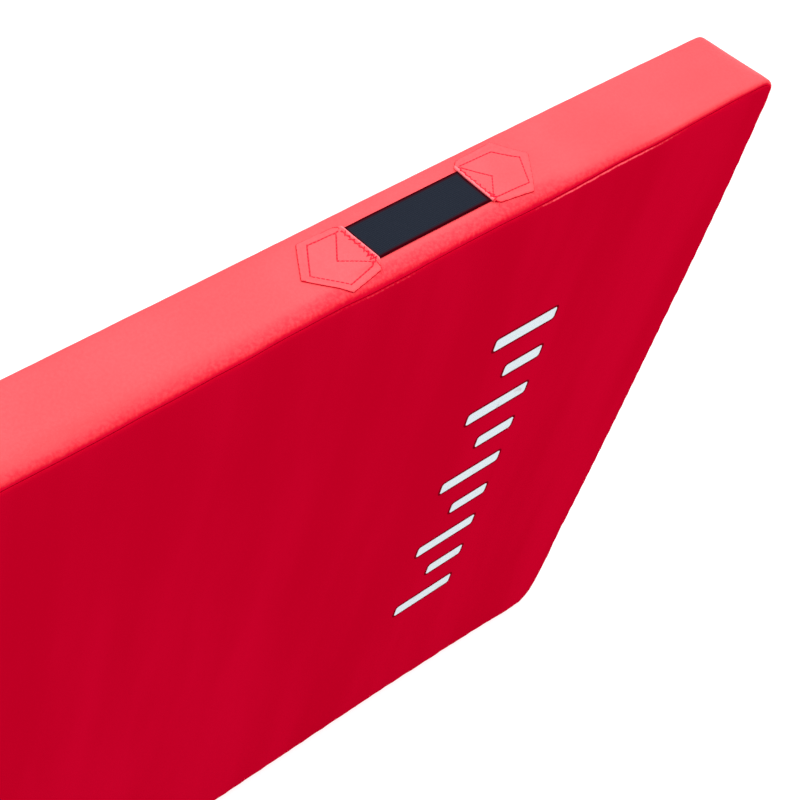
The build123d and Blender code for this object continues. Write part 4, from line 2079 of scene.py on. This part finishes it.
@dataclass
class Zip:
    """The coarse zip that closes the cover at one end.

    Attributes:
        pitch: spacing of the teeth.
        tooth: a tooth's width along the chain.
        shank: a tooth's shank, as shares of the row's width, the tooth's width and the
            row's depth, and its shift towards the tape as a share of the row's width.
        head: the same for the head that locks between its neighbours.
        tooth_edge: how far a tooth's edges are rounded.
        tape_edge: how far a tape's long edges are rounded.
        tape_rows: number of the tape mesh's rows.
        bulge: how far a tape stands out beside the chain.
        bulge_reach: distance from the chain at which it does so fully.
        ripple: share of the bulge that comes and goes along the tape.
        ripple_rate: how fast it does so, in radians per metre.
        sink: how far a tape's ends sink behind the border.
        clear_of_chain: distances from the chain between which a tape is free of it.
        dive: distances from a tape's end between which the free part sinks.
        chain_dive: the same for the part beside the chain.
    """

    pitch: float = 0.0040
    tooth: float = 0.0021
    shank: tuple[float, float, float, float] = (1.0, 1.0, 0.86, 0.0)
    head: tuple[float, float, float, float] = (0.36, 4 / 3, 1.0, -0.32)
    tooth_edge: float = 0.0003
    tape_edge: float = 0.00025
    tape_rows: int = 90
    bulge: float = 0.0004
    bulge_reach: float = 0.012
    ripple: float = 0.6
    ripple_rate: float = 190.0
    sink: float = 0.0045
    clear_of_chain: Point = (0.002, 0.006)
    dive: Point = (0.022, 0.006)
    chain_dive: Point = (0.012, 0.006)

    def build(self) -> None:
        """Make the tapes and the teeth, and dress the metal parts."""
        for side in ("front", "back"):
            self.tape(side)
            self.teeth(side)
        for node in ("zip_slider", "zip_pull", "zip_top_stops", "zip_bottom_stop"):
            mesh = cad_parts[node].data
            mesh.materials.clear()
            mesh.materials.append(ZIP_METAL.material())
        log.info("zip done")

    def tape(self, side: str) -> None:
        """Make one woven tape.

        Args:
            side: "front" or "back".
        """
        low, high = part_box(f"zip_tape_{side}")
        mesh = bmesh.new()
        size = high - low
        add_box(mesh, (low + high) / 2, size)
        round_off(mesh, edges_along(mesh, 2), self.tape_edge, steps=2)
        cut(mesh, 2, [low.z + size.z * i / self.tape_rows for i in range(1, self.tape_rows)])
        weave_along(mesh, 2, 1)
        chain = max(abs(corner.y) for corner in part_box(f"zip_teeth_{side}"))
        for v in mesh.verts:
            off = abs(v.co.y) - chain
            ripple = 1 + math.sin(v.co.z * self.ripple_rate) * self.ripple
            v.co.x += self.bulge * smooth(0.0, self.bulge_reach, off) * ripple
            end = min(v.co.z - low.z, high.z - v.co.z)
            clear = smooth(*self.clear_of_chain, off)
            sunk = clear * smooth(*self.dive, end) + (1 - clear) * smooth(*self.chain_dive, end)
            v.co.x += self.sink * sunk
        name = f"woven_zip_tape_{side}"
        piece = new_piece(name, mesh, Slot.TAPE, ZIP_WEAVE, crease=1.2)
        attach(piece, "mat")
        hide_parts(f"zip_tape_{side}")

    def teeth(self, side: str) -> None:
        """Make one row of teeth.

        Args:
            side: "front" or "back".
        """
        low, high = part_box(f"zip_teeth_{side}")
        mesh = bmesh.new()
        size = high - low
        middle = (low + high) / 2
        way = 1 if side == "back" else -1
        start = low.z + self.tooth / 2 + (0.0 if side == "front" else self.pitch / 2)
        for i in range(int(size.z / self.pitch)):
            z = start + i * self.pitch
            if z + self.tooth / 2 > high.z:
                break
            for across, along, depth, shift in (self.shank, self.head):
                place = (middle.x, middle.y + shift * size.y * way, z)
                add_box(mesh, place, (depth * size.x, across * size.y, along * self.tooth))
        round_off(mesh, mesh.edges[:], self.tooth_edge, steps=1)
        name = f"moulded_zip_teeth_{side}"
        piece = new_piece(name, mesh, Slot.TEETH, ZIP_PLASTIC, crease=1.0)
        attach(piece, "mat")
        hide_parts(f"zip_teeth_{side}")
        log.info("%s: %d faces", piece.name, len(piece.data.polygons))


# ---- Studio ----


@dataclass(frozen=True)
class Lamp:
    """One soft studio light.

    Attributes:
        name: its name.
        place: where it stands.
        aim: what it points at.
        size: its width and height.
        power: its power in watts.
        colour: its colour, linear RGB.
    """

    name: str
    place: Triple
    aim: Triple
    size: Point
    power: float
    colour: Triple = (1.0, 1.0, 1.0)

    def hang(self) -> None:
        """Put the light up."""
        data = bpy.data.lights.new(self.name, "AREA")
        data.shape = "RECTANGLE"
        data.size, data.size_y = self.size
        data.energy = self.power
        data.color = self.colour
        lamp = link_up(self.name, data)
        lamp.location = self.place
        lamp.rotation_euler = (
            (Vector(self.aim) - Vector(self.place)).to_track_quat("-Z", "Y").to_euler()
        )


@dataclass
class Studio:
    """The pale floor, the soft lights and the camera.

    Attributes:
        eye: the camera's place.
        right: its right-hand direction.
        up: its upward direction.
        back: the direction it looks away from.
        lens: its focal length, in millimetres on a 36 mm wide frame.
        lamps: the lights.
        floor_reach: how far the floor goes each way.
        floor_colour: its colour, linear RGB.
        floor_glow: how strongly the floor shines by itself.
        sky: brightness of the surroundings.
    """

    eye: Triple = (-0.7798, -0.8964, 2.4700)
    right: Triple = (0.7219, -0.6589, 0.2114)
    up: Triple = (0.4123, 0.6550, 0.6332)
    back: Triple = (-0.5557, -0.3700, 0.7445)
    lens: float = 94.5
    lamps: tuple[Lamp, ...] = (
        Lamp("overhead softbox", (0.9, 0.5, 3.7), (0.3, 0.0, 0.9), (4.0, 3.6), 145.0),
    )
    floor_reach: float = 60.0
    floor_colour: Triple = (0.3, 0.3, 0.3)
    floor_glow: float = 0.78
    sky: float = 1.0

    def build(self) -> None:
        """Set the studio up."""
        mesh = bmesh.new()
        bmesh.ops.create_grid(mesh, x_segments=1, y_segments=1, size=self.floor_reach)
        data = bpy.data.meshes.new("studio_floor")
        mesh.to_mesh(data)
        mesh.free()
        floor = link_up("studio_floor", data)
        paper = Finish("studio floor", self.floor_colour, roughness=0.9, gloss=0.1).material()
        shader = paper.node_tree.nodes["Principled BSDF"]
        shader.inputs["Emission Color"].default_value = (1.0, 1.0, 1.0, 1.0)
        shader.inputs["Emission Strength"].default_value = self.floor_glow
        data.materials.append(paper)
        for lamp in self.lamps:
            lamp.hang()
        world = bpy.context.scene.world or bpy.data.worlds.new("studio")
        bpy.context.scene.world = world
        world.use_nodes = True
        sky = world.node_tree.nodes["Background"]
        sky.inputs["Color"].default_value = (1.0, 1.0, 1.0, 1.0)
        sky.inputs["Strength"].default_value = self.sky
        data = bpy.data.cameras.new("studio_camera")
        data.lens = self.lens
        data.sensor_width = 36.0
        data.clip_start = 0.05
        camera = link_up("studio_camera", data)
        turn = Matrix((self.right, self.up, self.back)).transposed().to_4x4()
        camera.matrix_world = Matrix.Translation(self.eye) @ turn
        bpy.context.scene.camera = camera
        bpy.context.scene.view_settings.view_transform = "Standard"


def main() -> None:
    """Build the mat and its studio."""
    logging.basicConfig(level=logging.INFO, format="%(name)s: %(message)s")
    cover = Cover()
    cover.build()
    Core(cover).build()
    SeamStitches(cover).build()
    handles = (
        Handle(cover, "top", "right"),
        Handle(cover, "top", "left", left_patch=SLIM_PATCH, right_patch=WIDE_PATCH),
        Handle(cover, "bottom", "right", left_patch=SLIM_PATCH, right_patch=SLIM_PATCH),
        Handle(cover, "bottom", "left", left_patch=WIDE_PATCH, right_patch=WIDE_PATCH),
    )
    for handle in handles:
        handle.build()
    PrintedScale(cover).build()
    Zip().build()
    Studio().build()


if __name__ == "__main__":
    main()
